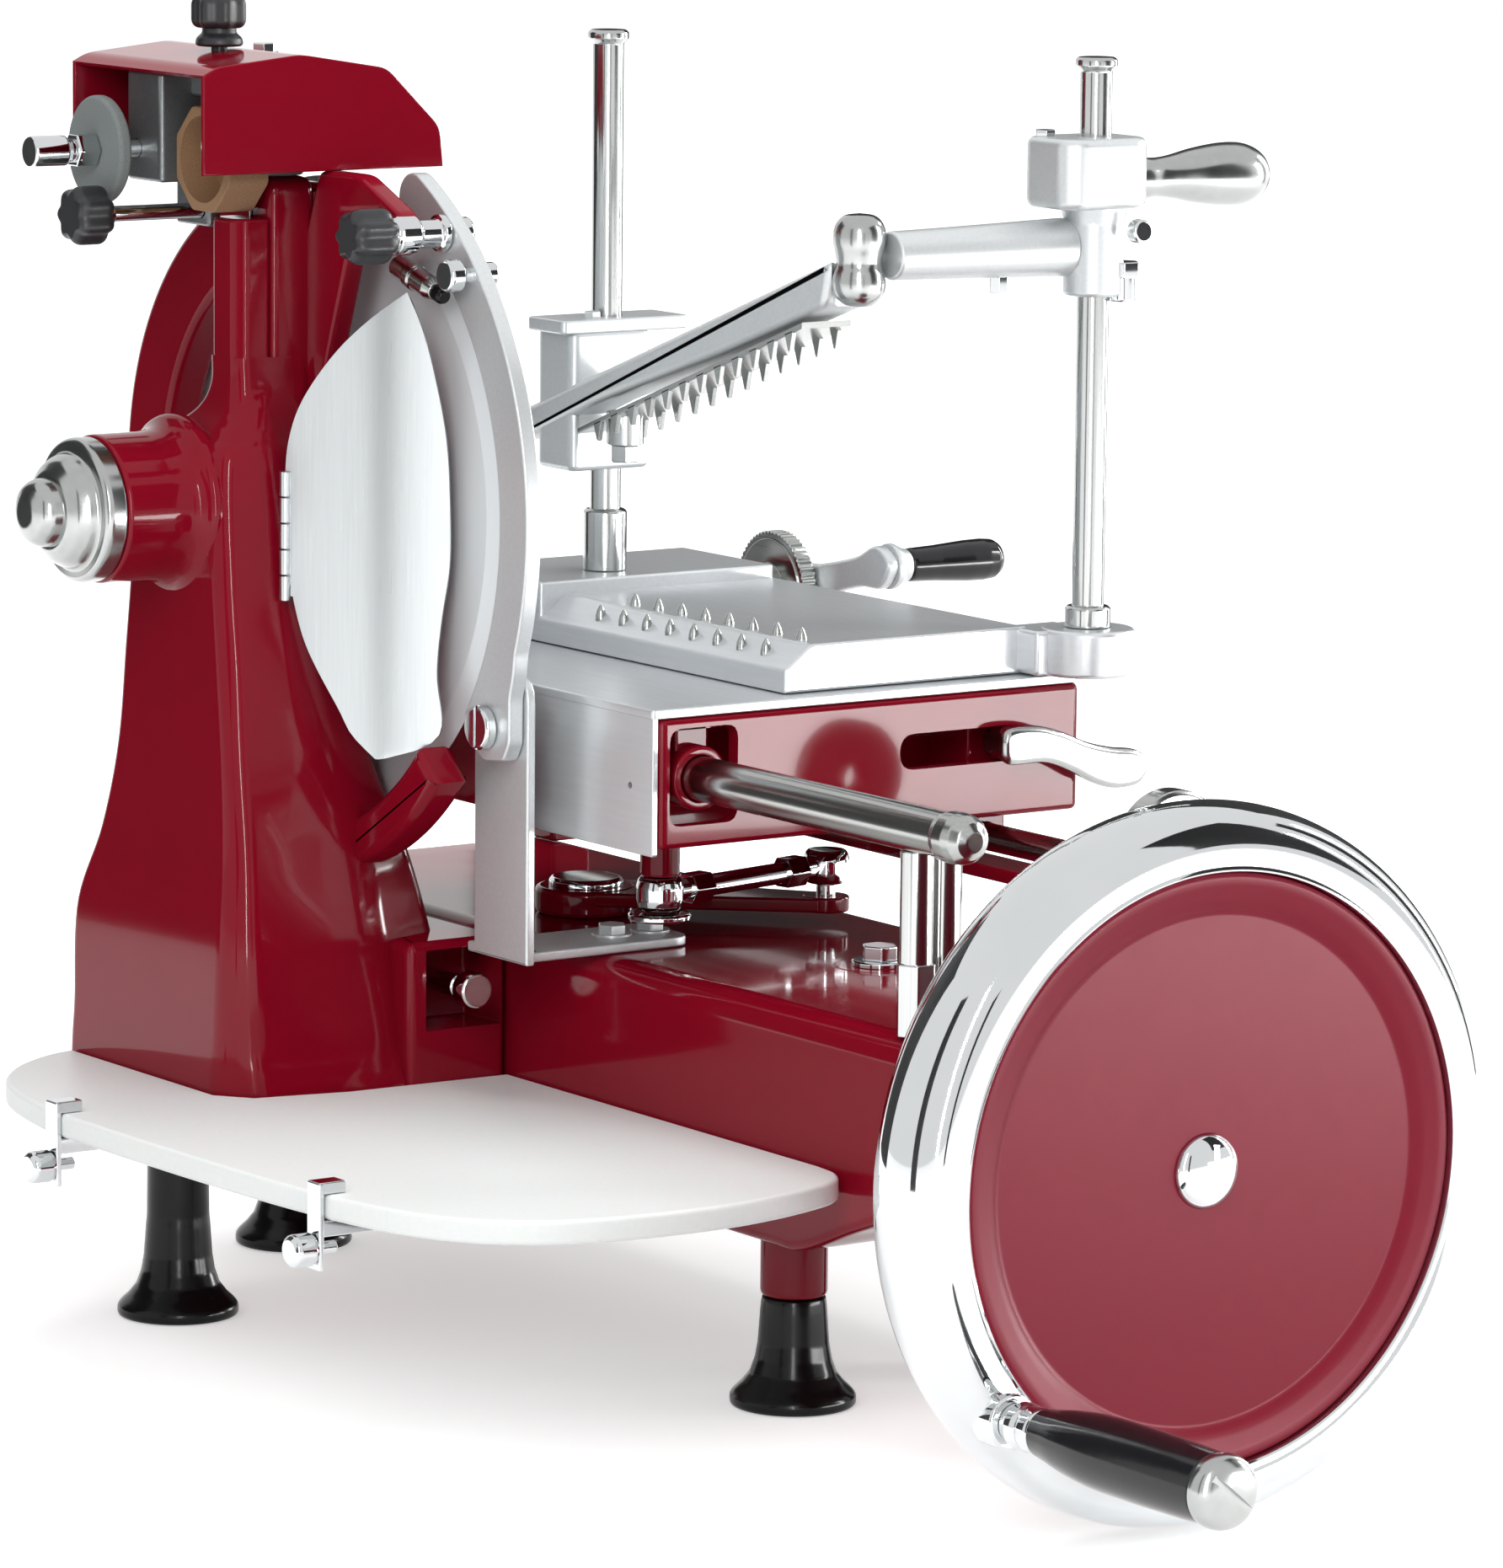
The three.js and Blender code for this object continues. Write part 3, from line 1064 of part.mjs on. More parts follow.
function addPress() {
  const group = new THREE.Group();
  group.position.set(0, 0, press.height);
  machine.add(group);
  const h = head;
  const c = h.corner;
  const outline = [
    [h.left, h.front + c], [h.left + c, h.front], [h.right - c, h.front], [h.right, h.front + c],
    [h.right, h.rear - c], [h.right - c, h.rear], [h.left + c, h.rear], [h.left, h.rear - c],
  ];
  const armBody = turned(
    'x', [[0, arm.left], [arm.thin, arm.left], [arm.thick, arm.right], [0, arm.right]],
  );
  const bore = move(
    rodAlong('z', rodRight.radius + seat, [h.sleeveBottom - over, h.top + over]), rodRight.x, rodRight.y, 0,
  );
  const studBore = move(
    rodAlong(
      'x', clampHandle.stud + seat, [rodRight.x + rodRight.radius + freeGap, h.right + over], small,
    ), 0, rodRight.y, clampHandle.z,
  );
  const body = joined(
    prism('z', outline, [0, h.top]),
    move(rodAlong('z', h.sleeve, [h.sleeveBottom, over]), rodRight.x, rodRight.y, 0),
    box(
      [arm.right - arm.thick, rodRight.x], [rodRight.y - h.corner, arm.y + h.corner],
      [arm.z - arm.thin, over],
    ),
    move(armBody, 0, arm.y, arm.z),
  );
  add('press_head', cut(body, bore, studBore), aluminium, [0, 0, 0], group);

  const half = (clampHandle.right - clampHandle.left) / 2;
  const ovalAt = (share) => Array.from({ length: round }, (_, i) => {
    const angle = (2 * Math.PI * i) / round;
    return [
      clampHandle.left + half + share * half * Math.cos(angle),
      (share * clampHandle.width * Math.sin(angle)) / 2,
    ];
  });
  const levels = [
    [clampHandle.crownShare, -1 / 2], [1, -1 / 6], [1, 1 / 6], [clampHandle.crownShare, 1 / 2],
  ];
  const paddle = joined(
    loft(levels.map(([share, t]) => ovalAt(share).map(([x, y]) => [x, y, t * clampHandle.thick]))),
    rodAlong('x', clampHandle.stud, [
      rodRight.x + rodRight.radius + clampHandle.studEnd, clampHandle.left + clampHandle.width / 2,
    ], small),
    rodAlong('x', clampHandle.stud * 2, [h.right + seat, clampHandle.left + over * 2], small),
  );
  add('press_clamp_handle', paddle, aluminium, [0, rodRight.y, clampHandle.z], group);

  const middle = (elbow.top + elbow.bottom) / 2;
  const crown = elbow.radius * elbow.roundShare;
  const knuckle = cut(
    turned('z', [
      [0, elbow.bottom], [crown, elbow.bottom + elbow.crown], [elbow.radius, elbow.bottom + crown],
      [elbow.radius, elbow.top - crown], [crown, elbow.top - elbow.crown], [0, elbow.top],
    ]),
    box(
      [elbow.radius * elbow.flatShare, elbow.radius * 2], [-elbow.radius, elbow.radius],
      [elbow.bottom, middle],
    ),
  );
  add('elbow', knuckle, chrome, [elbow.x, elbow.y, 0], group);

  const overTable = (rise) => table.top + rise - press.height;
  const rearZ = overTable(beam.rearAboveTable);
  const slope = (rearZ - beam.frontZ) / (beam.rearY - beam.frontY);
  const level = (y) => beam.frontZ + slope * (y - beam.frontY);
  const spine = prism('x', [
    [beam.frontY, beam.frontZ], [beam.frontY, beam.frontZ - beam.depth],
    [beam.rearY, rearZ - beam.depth * beam.rearShare], [beam.rearY, rearZ],
  ], [beam.left, beam.right]);
  const clampDepth = [rodLeft.y - rodClamp.halfY, rodLeft.y + rodClamp.halfY];
  const [plateTop, plateBottom, clampLow] = [
    rodClamp.plateTop, rodClamp.plateBottom, rodClamp.lower,
  ].map(overTable);
  const topPlate = box(
    [rodClamp.left, rodClamp.right], clampDepth, [plateBottom, plateTop],
  );
  const clampBody = box(
    [beam.left, rodLeft.x + rodClamp.halfY], clampDepth, [clampLow, plateBottom],
  );
  const rodBore = move(
    rodAlong('z', rodLeft.radius + seat, [clampLow - over, plateTop + over]), rodLeft.x,
    rodLeft.y, 0,
  );
  const elbowRoom = move(
    rodAlong('z', elbow.radius + seat, [elbow.bottom - over, elbow.top + over]), elbow.x, elbow.y, 0,
  );
  add(
    'press_beam', cut(joined(spine, topPlate, clampBody), rodBore, elbowRoom), aluminium, [0, 0, 0], group,
  );

  const tops = [];
  const toothRows = [];
  const last = teeth.first + teeth.count * teeth.pitch;
  const gapDown = beam.depth + seat;
  const start = teeth.first - teeth.pitch / 2;
  const end = Math.min(last, rodLeft.y - rodClamp.halfY - teeth.pitch / 2);
  tops.push([start, level(start) - gapDown], [end, level(end) - gapDown]);
  const sheet = [
    ...tops, [end, level(end) - gapDown - teeth.thick], [start, level(start) - gapDown - teeth.thick],
  ];
  for (let y = teeth.first; y < end - teeth.width; y += teeth.pitch) {
    const z = level(y) - gapDown - teeth.thick / 2;
    const outlineTooth = [
      [y, z], [y + teeth.width, z + slope * teeth.width],
      [y + teeth.width / 2 - teeth.tip, z - teeth.length],
    ];
    toothRows.push(prism('x', outlineTooth, [teeth.left, teeth.left + teeth.thick]));
    toothRows.push(prism('x', outlineTooth, [teeth.right - teeth.thick, teeth.right]));
  }
  add(
    'tooth_plate', joined(prism('x', sheet, [teeth.left, teeth.right]), ...toothRows), steel, [0, 0, 0],
    group,
  );
}

function addSharpener() {
  const group = new THREE.Group();
  group.position.set(0, 0, ribTop);
  machine.add(group);
  const outer = prism('y', [[hood.left, hood.bottom], ...hoodSide], [hood.front, hood.rear]);
  const inner = prism(
    'y', [[hood.left, hood.bottom], ...hoodRoof], [hood.front + hood.thick, hood.rear - hood.thick],
  );
  const openings = [
    box(
      [hood.left - over, hood.left + freeGap], [hood.front + hood.thick, hood.rear - hood.thick],
      [hood.bottom - over, hoodRoof[0][1]],
    ),
    box(
      [hood.left - over, hoodRoof[5][0]], [hood.front + hood.thick, hood.rear - hood.thick],
      [hood.bottom - over, hood.bottom + freeGap],
    ),
  ];
  const studHole = move(
    rodAlong('z', hoodKnob.stud + seat, [holder.top, hoodKnob.z + over], small), hoodKnob.x, hoodKnob.y, 0,
  );
  add('hood', cut(outer, inner, ...openings, studHole), redPaint, [0, 0, 0], group);

  const gripLow = hoodKnob.z + hoodKnob.skirtHeight;
  const skirtLow = hoodKnob.z - hoodKnob.skirtDrop;
  const knob = joined(
    lobedKnob('z', hoodKnob.radius, ringKnob.lobe, [gripLow, gripLow + hoodKnob.height]),
    turned('z', [
      [0, skirtLow], [hoodKnob.skirt, skirtLow], [hoodKnob.radius * hoodKnob.neckShare, gripLow],
      [0, gripLow],
    ]),
    rodAlong('z', hoodKnob.stud, [holder.top + seat, hoodKnob.z + over], small),
  );
  add('hood_knob', knob, knobPlastic, [hoodKnob.x, hoodKnob.y, 0], group);

  const h = holder;
  const spindleBore = move(
    rodAlong('x', spindle.thin + seat, [h.left - over, h.right - over], small), 0, stone.y, stone.z,
  );
  const cupBore = move(
    rodAlong('x', cup.stem + seat, [h.mid - over, h.mid + over], small), 0, cup.y, cup.z,
  );
  const knobLug = box(
    [stoneKnob.right, h.mid + over], [stoneKnob.y - stoneKnob.lug, h.rear],
    [stoneKnob.z - stoneKnob.lug, h.low + over],
  );
  const body = joined(
    box([h.left, h.right], [h.step, h.rear], [h.low, h.top]),
    box([h.mid, h.right], [h.front, h.rear], [h.bottom, h.top]),
    box([h.mid - over * 2, h.right], [0, h.rear], [h.top - over * 2, h.top]),
    knobLug,
  );
  add('stone_holder', cut(body, spindleBore, cupBore), darkSteel, [0, 0, 0], group);

  const stoneRight = stone.left + stone.thick;
  add('grinding_wheel', turned('x', [
    [spindle.thin + seat, stone.left], [stone.radius - stone.chamfer, stone.left],
    [stone.radius, stone.left + stone.chamfer], [stone.radius, stoneRight],
    [spindle.thin + seat, stoneRight], [spindle.thin + seat, stone.left],
  ], fine / 2), greyStone, [0, stone.y, stone.z], group);
  add('grinding_spindle', joined(
    rodAlong('x', spindle.radius, [spindle.left, stone.left - seat - spindle.nutThick * 2]),
    rodAlong('x', spindle.nut, [stone.left - seat - spindle.nutThick * 2, stone.left - seat], bolt.sides),
    rodAlong('x', spindle.thin, [spindle.left + over, holder.left + over * 3], small),
    rodAlong('x', spindle.nut, [stoneRight + seat, stoneRight + seat + spindle.nutThick], bolt.sides),
  ), chrome, [0, stone.y, stone.z], group);
  add('deburring_cup', cut(
    joined(
      rodAlong('x', cup.radius, [cup.left, cup.right], cup.sides),
      rodAlong('x', cup.stem, [cup.right, h.mid + over / 2], small),
    ),
    rodAlong('x', cup.bore, [cup.left - over, cup.left + cup.depth]),
  ), tanStone, [0, cup.y, cup.z], group);
  add('stone_knob', joined(
    lobedKnob('x', stoneKnob.radius, ringKnob.lobe, [stoneKnob.x, stoneKnob.x + stoneKnob.length]),
    rodAlong('x', stoneKnob.rod, [stoneKnob.x + stoneKnob.length, stoneKnob.right - seat], small),
  ), knobPlastic, [0, stoneKnob.y, stoneKnob.z], group);
}

addBase();
addDrive();
addBlade();
addGuards();
addFlywheel();
addTray();
addRails();
addCarriage();
addLinkage();
addTable();
addPress();
addSharpener();

export default part;
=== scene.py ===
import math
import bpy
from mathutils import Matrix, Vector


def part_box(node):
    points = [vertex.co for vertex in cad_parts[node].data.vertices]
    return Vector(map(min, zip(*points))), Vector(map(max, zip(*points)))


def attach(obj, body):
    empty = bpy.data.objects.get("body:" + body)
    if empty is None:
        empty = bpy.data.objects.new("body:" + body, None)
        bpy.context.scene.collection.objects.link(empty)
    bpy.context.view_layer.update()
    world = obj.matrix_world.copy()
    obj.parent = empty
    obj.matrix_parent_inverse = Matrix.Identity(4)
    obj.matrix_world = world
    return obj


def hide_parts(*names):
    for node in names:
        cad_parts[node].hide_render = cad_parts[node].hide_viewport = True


bl_info = {
    "name": "Hand crank meat slicer",
    "version": (1, 0, 0),
    "blender": (4, 5, 0),
    "location": "3D View > Sidebar > Slicer",
    "description": "Builds the looks of a flywheel meat slicer around its packed frame",
    "category": "Add Mesh",
}

import bpy
import numpy as np
from mathutils import Matrix, Vector

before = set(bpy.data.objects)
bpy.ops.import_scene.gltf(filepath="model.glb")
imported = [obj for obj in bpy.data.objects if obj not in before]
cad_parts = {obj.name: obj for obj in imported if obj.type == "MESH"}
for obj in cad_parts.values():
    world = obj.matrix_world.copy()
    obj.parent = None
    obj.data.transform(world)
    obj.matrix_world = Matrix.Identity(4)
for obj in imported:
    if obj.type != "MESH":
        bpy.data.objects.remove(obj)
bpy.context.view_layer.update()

# Shapes are written in millimetres, from the point below the blade's middle. The frame is in metres, from the
# middle of the front left foot
MM = 0.001
SHIFT = np.array([-76.0, 304.0, 0.0])
# Steps of a softened rim, of a rounded corner, and round a common and a large turned part
EDGE_STEPS = 3
CORNER_STEPS = 5
ROUND = 64
FINE = 160
SMOOTH_ANGLE = math.radians(34)
# The most of a side that the rounding of one of its corners takes
SIDE_SHARE = 0.49
# Stands for nothing where a number divides
TINY = 1e-9
# How far a face stays off the face that it would lie on
GAP = 0.3


# Shells: each is (points, faces), points in millimetres, closed and facing outwards


def facing_out(points, faces):
    """Turns all faces round where the volume, summed over fans of triangles, is negative."""
    volume = 0.0
    for size in sorted({len(face) for face in faces}):
        corners = points[np.array([face for face in faces if len(face) == size])]
        for k in range(1, size - 1):
            fan = np.cross(corners[:, k], corners[:, k + 1])
            volume += np.einsum("ij,ij->i", corners[:, 0], fan).sum()
    if volume < 0:
        faces = [list(reversed(face)) for face in faces]
    return points, faces


def ring_shell(rings, ends=True):
    """Joins rows of a (rows, columns, 3) array with quads, each row a closed loop, and caps both ends.
    Without ends the last row joins the first one, as in a ring with a hole."""
    rings = np.asarray(rings, float)
    rows, columns = rings.shape[:2]
    i, j = np.meshgrid(np.arange(rows - 1 if ends else rows), np.arange(columns), indexing="ij")
    here, above, beside = i * columns, (i + 1) % rows * columns, (j + 1) % columns
    faces = np.stack([here + j, here + beside, above + beside, above + j], -1).reshape(-1, 4).tolist()
    if ends:
        faces.append(list(range(columns))[::-1])
        faces.append(list(range((rows - 1) * columns, rows * columns)))
    return facing_out(rings.reshape(-1, 3), faces)


def soft_corners(outline, radius, steps=CORNER_STEPS, closed=True):
    """Rounds each corner p by the curve (1-t)^2 a + 2t(1-t) p + t^2 b, with a and b one radius away on its
    two sides."""
    p = np.asarray(outline, float)
    to_before, to_after = np.roll(p, 1, 0) - p, np.roll(p, -1, 0) - p
    len_before = np.linalg.norm(to_before, axis=1, keepdims=True)
    len_after = np.linalg.norm(to_after, axis=1, keepdims=True)
    reach = np.minimum(np.broadcast_to(np.asarray(radius, float).reshape(-1, 1), len_before.shape),
                       np.minimum(len_before, len_after) * SIDE_SHARE)
    a = p + to_before / np.maximum(len_before, TINY) * reach
    b = p + to_after / np.maximum(len_after, TINY) * reach
    t = np.linspace(0, 1, steps)[None, :, None]
    curve = (1 - t) ** 2 * a[:, None] + 2 * t * (1 - t) * p[:, None] + t * t * b[:, None]
    if closed:
        return curve.reshape(-1, p.shape[1])
    return np.concatenate([p[:1], curve[1:-1].reshape(-1, p.shape[1]), p[-1:]])


def smooth_line(points, count, closed=False):
    """Passes a Catmull-Rom curve through the points and reads it at evenly spaced steps."""
    p = np.asarray(points, float)
    if closed:
        padded = np.concatenate([p[-1:], p, p[:2]])
        spans = len(p)
    else:
        padded = np.concatenate([2 * p[:1] - p[1:2], p, 2 * p[-1:] - p[-2:-1]])
        spans = len(p) - 1
    place = np.linspace(0, spans, count, endpoint=not closed)
    k = np.minimum(place.astype(int), spans - 1)
    t = (place - k)[:, None]
    p0, p1, p2, p3 = (padded[k + n] for n in range(4))
    return 0.5 * (2 * p1 + (p2 - p0) * t + (2 * p0 - 5 * p1 + 4 * p2 - p3) * t**2
                  + (3 * p1 - p0 - 3 * p2 + p3) * t**3)


def grown(outline, amount, least_share=0.4):
    """Moves a closed outline sideways: each point goes along (n1 + n2) / (1 + n1.n2) of its two sides'
    normals, where 1 + n1.n2 is kept from going to zero at a sharp corner."""
    p = np.asarray(outline, float)
    area = np.sum(p[:, 0] * np.roll(p[:, 1], -1) - np.roll(p[:, 0], -1) * p[:, 1])
    side = np.roll(p, -1, 0) - p
    side /= np.maximum(np.linalg.norm(side, axis=1, keepdims=True), TINY)
    normal = np.stack([side[:, 1], -side[:, 0]], 1) * np.sign(area)
    earlier = np.roll(normal, 1, 0)
    share = 1 + np.sum(normal * earlier, axis=1, keepdims=True)
    return p + amount * (normal + earlier) / np.maximum(share, least_share)


def placed(flat, along, axis):
    """Lays outline points (Y, Z), (X, Z) or (X, Y) across the axis x, y or z at the place along it."""
    column = np.broadcast_to(along, flat.shape[:-1])
    order = {"x": (column, flat[..., 0], flat[..., 1]), "y": (flat[..., 0], column, flat[..., 1]),
             "z": (flat[..., 0], flat[..., 1], column)}
    return np.stack(order[axis], -1)


def slab(outline, axis, start, end, edge=1.0, corner=0.0):
    """A plate of the outline's shape: its rim follows a quarter circle of the edge radius at both faces."""
    flat = soft_corners(outline, corner) if np.any(np.asarray(corner) > 0) else np.asarray(outline, float)
    edge = min(edge, abs(end - start) * SIDE_SHARE)
    turn = np.linspace(0, math.pi / 2, EDGE_STEPS + 1) if edge else np.array([math.pi / 2])
    rows = [(grown(flat, -i), p) for i, p in zip(edge * (1 - np.sin(turn)), edge * (1 - np.cos(turn)))]
    low = [placed(row, start + p, axis) for row, p in rows]
    high = [placed(row, end - p, axis) for row, p in rows]
    return ring_shell(np.stack(low + high[::-1]))


def block(x, y, z, edge=1.0, corner=1.0, axis="z"):
    """A box between the given limits, a slab whose outline is a rectangle with rounded corners."""
    spans = {"x": (y, z, x), "y": (x, z, y), "z": (x, y, z)}
    (a0, a1), (b0, b1), (low, high) = spans[axis]
    return slab([(a0, b0), (a1, b0), (a1, b1), (a0, b1)], axis, low, high, edge, corner)


def turned(profile, axis, centre=(0, 0, 0), soft=0.6, sides=ROUND, steps=4):
    """Carries a profile of (radius, place) round the axis, as (r cos, r sin, place). A profile that closes on
    itself leaves a bore, and one that ends on the axis gets a cap there. Corners are softened in steps."""
    on_axis = 1e-6
    points = np.asarray(profile, float)
    closed = bool(np.allclose(points[0], points[-1]))
    line = points[:-1] if closed else points
    if soft:
        line = soft_corners(line, soft, steps, closed)
    if not closed and min(line[0, 0], line[-1, 0]) < on_axis:
        line = line[line[:, 0] > on_axis]
    angle = np.linspace(0, 2 * math.pi, sides, endpoint=False)
    r, t = line[:, :1], line[:, 1:]
    u, v, w = r * np.cos(angle), r * np.sin(angle), np.broadcast_to(t, (len(line), sides))
    order = {"x": (w, u, v), "y": (v, w, u), "z": (u, v, w)}
    return ring_shell(np.stack(order[axis], -1) + np.asarray(centre, float), ends=not closed)


def rod(axis, radius, start, end, centre=(0, 0, 0), edge=0.8, sides=ROUND):
    """A round bar with softened ends, turned from a rectangle."""
    return turned([(0, start), (radius, start), (radius, end), (0, end)], axis, centre, edge, sides)


def tube(axis, outer, inner, start, end, centre=(0, 0, 0), edge=0.6, sides=ROUND):
    """A round bar with a bore, turned from a rectangle that stays off the axis."""
    line = [(inner, start), (outer, start), (outer, end), (inner, end), (inner, start)]
    return turned(line, axis, centre, edge, sides)


def even_sided(axis, radius, start, end, centre=(0, 0, 0), edge=0.6, turn=0.0, corners=6):
    """A nut, a bolt head or a cup: an even-sided outline of corners on a circle, made a slab."""
    angle = np.arange(corners) * 2 * math.pi / corners + turn
    outline = np.stack([radius * np.cos(angle), radius * np.sin(angle)], 1)
    return moved(slab(outline, axis, start, end, edge, radius * 0.08), centre)


def lobed(axis, radius, depth, start, end, centre, count=7):
    """A grip knob: radius less depth (1 - cos(count angle)) / 2, its rows drawn in by a quarter ellipse at
    both ends."""
    dome_share, draw_share, steps_per_lobe = 0.28, 0.3, 14
    angle = np.linspace(0, 2 * math.pi, count * steps_per_lobe, endpoint=False)
    bend = np.linspace(0, math.pi / 2, 7)
    drawn = radius * draw_share * (1 - np.sin(bend))
    place = (end - start) * dome_share * (1 - np.cos(bend))
    inset = np.concatenate([drawn, drawn[::-1]])
    along = np.concatenate([start + place, end - place[::-1]])
    r = (radius - depth * (1 - np.cos(count * angle)) / 2)[None] - inset[:, None]
    flat = np.stack([r * np.cos(angle), r * np.sin(angle)], -1)
    return moved(ring_shell(placed(flat, along[:, None], axis)), centre)


def moved(shell, place, turn=0.0, axis="Z"):
    """Turns a shell about an axis through the origin and then sets it down at a place."""
    points = shell[0] @ np.array(Matrix.Rotation(turn, 3, axis)).T if turn else shell[0]
    return points + np.asarray(place, float), shell[1]


def lofted(levels, corner, axis, rows, soft_ends=0.0):
    """Rounded outlines at rising places, joined by Catmull-Rom curves from level to level. Soft ends go on
    past the first and last outline by a quarter circle."""
    places = np.array([place for place, _ in levels], float)
    outlines = np.stack([soft_corners(outline, corner, 7) for _, outline in levels])
    table = np.concatenate([places[:, None], outlines.reshape(len(places), -1)], 1)
    lines = smooth_line(table, rows)
    flat = lines[:, 1:].reshape(rows, -1, 2)
    rings = placed(flat, lines[:, :1], axis)
    if soft_ends:
        turn = np.linspace(0, math.pi / 2, 5)[:-1]
        reach = soft_ends * np.sign(places[-1] - places[0])
        low, high = ([placed(grown(outline, -soft_ends * (1 - math.sin(a))), place + way * math.cos(a), axis)
                      for a in turn]
                     for outline, place, way in ((flat[0], places[0], -reach), (flat[-1], places[-1], reach)))
        rings = np.concatenate([np.stack(low), rings, np.stack(high[::-1])])
    return ring_shell(rings)


def joined(*shells):
    """Puts shells into one mesh, side by side or passing into each other."""
    offsets = np.cumsum([0] + [len(points) for points, _ in shells])
    points = np.concatenate([points for points, _ in shells])
    faces = [[k + int(offset) for k in face] for (_, faces), offset in zip(shells, offsets) for face in faces]
    return points, faces


def mesh_of(name, shell):
    """A Blender mesh in the frame's metres of a shell in millimetres."""
    mesh = bpy.data.meshes.new(name)
    mesh.from_pydata(((shell[0] + SHIFT) * MM).tolist(), [], shell[1])
    mesh.update()
    return mesh


def carved(shell, *tools):
    """Takes the tools' volume out of the shell and gives the rest back as a shell."""
    made = [bpy.data.objects.new(f"carving_{k}", mesh_of("carving", s)) for k, s in enumerate((shell, *tools))]
    for item in made:
        bpy.context.scene.collection.objects.link(item)
    for tool in made[1:]:
        change = made[0].modifiers.new(tool.name, "BOOLEAN")
        change.operation = "DIFFERENCE"
        change.solver = "EXACT"
        change.object = tool
    bpy.context.view_layer.update()
    rest = made[0].evaluated_get(bpy.context.evaluated_depsgraph_get()).to_mesh()
    points = np.empty(len(rest.vertices) * 3)
    rest.vertices.foreach_get("co", points)
    faces = [list(face.vertices) for face in rest.polygons]
    made[0].to_mesh_clear()
    for item in made:
        mesh = item.data
        bpy.data.objects.remove(item)
        bpy.data.meshes.remove(mesh)
    return points.reshape(-1, 3) / MM - SHIFT, faces


def piece(name, shell, body, slot, finish, *nodes):
    """Makes the object, shades it smooth up to a corner, gives it its body and finish, and hides the CAD nodes
    that it stands for. The slot is not used.
    """
    mesh = mesh_of(name, shell)
    mesh.polygons.foreach_set("use_smooth", np.ones(len(mesh.polygons), bool))
    mesh.set_sharp_from_angle(angle=SMOOTH_ANGLE)
    made = bpy.data.objects.new(name, mesh)
    bpy.context.scene.collection.objects.link(made)
    mesh.materials.append(FINISHES[finish])
    weights = made.modifiers.new("face weights", "WEIGHTED_NORMAL")
    weights.keep_sharp = True
    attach(made, body)
    if nodes:
        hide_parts(*nodes)
    return made


# Finishes


def linear(colour):
    """The linear RGBA of an sRGB hex colour."""
    channels = [int(colour[k:k + 2], 16) / 255 for k in (1, 3, 5)]
    return tuple(c / 12.92 if c <= 0.04045 else ((c + 0.055) / 1.055) ** 2.4 for c in channels) + (1.0,)


def darker(colour, share=0.9):
    """The same hue, a little darker, for the other tone of a finish."""
    return (*(share * channel for channel in colour[:3]), 1.0)


def add_node(tree, kind, values=(), links=(), **settings):
    """Adds one node, gives it its settings and socket values, and links its inputs."""
    made = tree.nodes.new(kind)
    for key, value in settings.items():
        setattr(made, key, value)
    for socket, value in dict(values).items():
        made.inputs[socket].default_value = value
    for socket, source in dict(links).items():
        tree.links.new(source, made.inputs[socket])
    return made


def shader_of(name, **values):
    """A material and its Principled shader; the values are its sockets' names with underscores for spaces."""
    material = bpy.data.materials.new(name)
    material.use_nodes = True
    shader = material.node_tree.nodes["Principled BSDF"]
    for key, value in values.items():
        shader.inputs[key.replace("_", " ")].default_value = value
    return material, material.node_tree, shader


def ringed_place(tree, place, centre, axis):
    """Turns a place into (distance from the axis, 0, 0), so that a pattern runs round the axis."""
    off = add_node(tree, "ShaderNodeMapping", {"Location": tuple((SHIFT + centre) * -MM)}, {"Vector": place})
    flat = [0.0 if k == axis else 1.0 for k in "xyz"]
    across = add_node(tree, "ShaderNodeVectorMath", {1: flat}, {0: off.outputs["Vector"]}, operation="MULTIPLY")
    length = add_node(tree, "ShaderNodeVectorMath", (), {0: across.outputs["Vector"]}, operation="LENGTH")
    return add_node(tree, "ShaderNodeCombineXYZ", (), {"X": length.outputs["Value"]}).outputs["Vector"]


def finish(name, tones, grain_mm, rough, bump_mm, stretch=(1, 1, 1), detail=3.0, around=None, **values):
    """Noise at the grain's real size mixes two close tones, moves the roughness and raises a fine bump."""
    material, tree, shader = shader_of(name, **values)
    place = add_node(tree, "ShaderNodeTexCoord").outputs["Object"]
    if around:
        place = ringed_place(tree, place, *around)
    size = tuple(s / (grain_mm * MM) for s in stretch)
    scaled = add_node(tree, "ShaderNodeMapping", {"Scale": size}, {"Vector": place})
    noise = add_node(tree, "ShaderNodeTexNoise", {"Scale": 1.0, "Detail": detail},
                     {"Vector": scaled.outputs["Vector"]}).outputs["Fac"]
    first, second = (linear(tone) if isinstance(tone, str) else tone for tone in tones)
    mixed = add_node(tree, "ShaderNodeMix", {6: first, 7: second}, {0: noise}, data_type="RGBA")
    tree.links.new(mixed.outputs[2], shader.inputs["Base Color"])
    spread = add_node(tree, "ShaderNodeMapRange", {"To Min": rough[0], "To Max": rough[1]}, {"Value": noise})
    tree.links.new(spread.outputs["Result"], shader.inputs["Roughness"])
    if bump_mm:
        bump = add_node(tree, "ShaderNodeBump", {"Strength": 0.6, "Distance": bump_mm * MM}, {"Height": noise})
        tree.links.new(bump.outputs["Normal"], shader.inputs["Normal"])
    return material


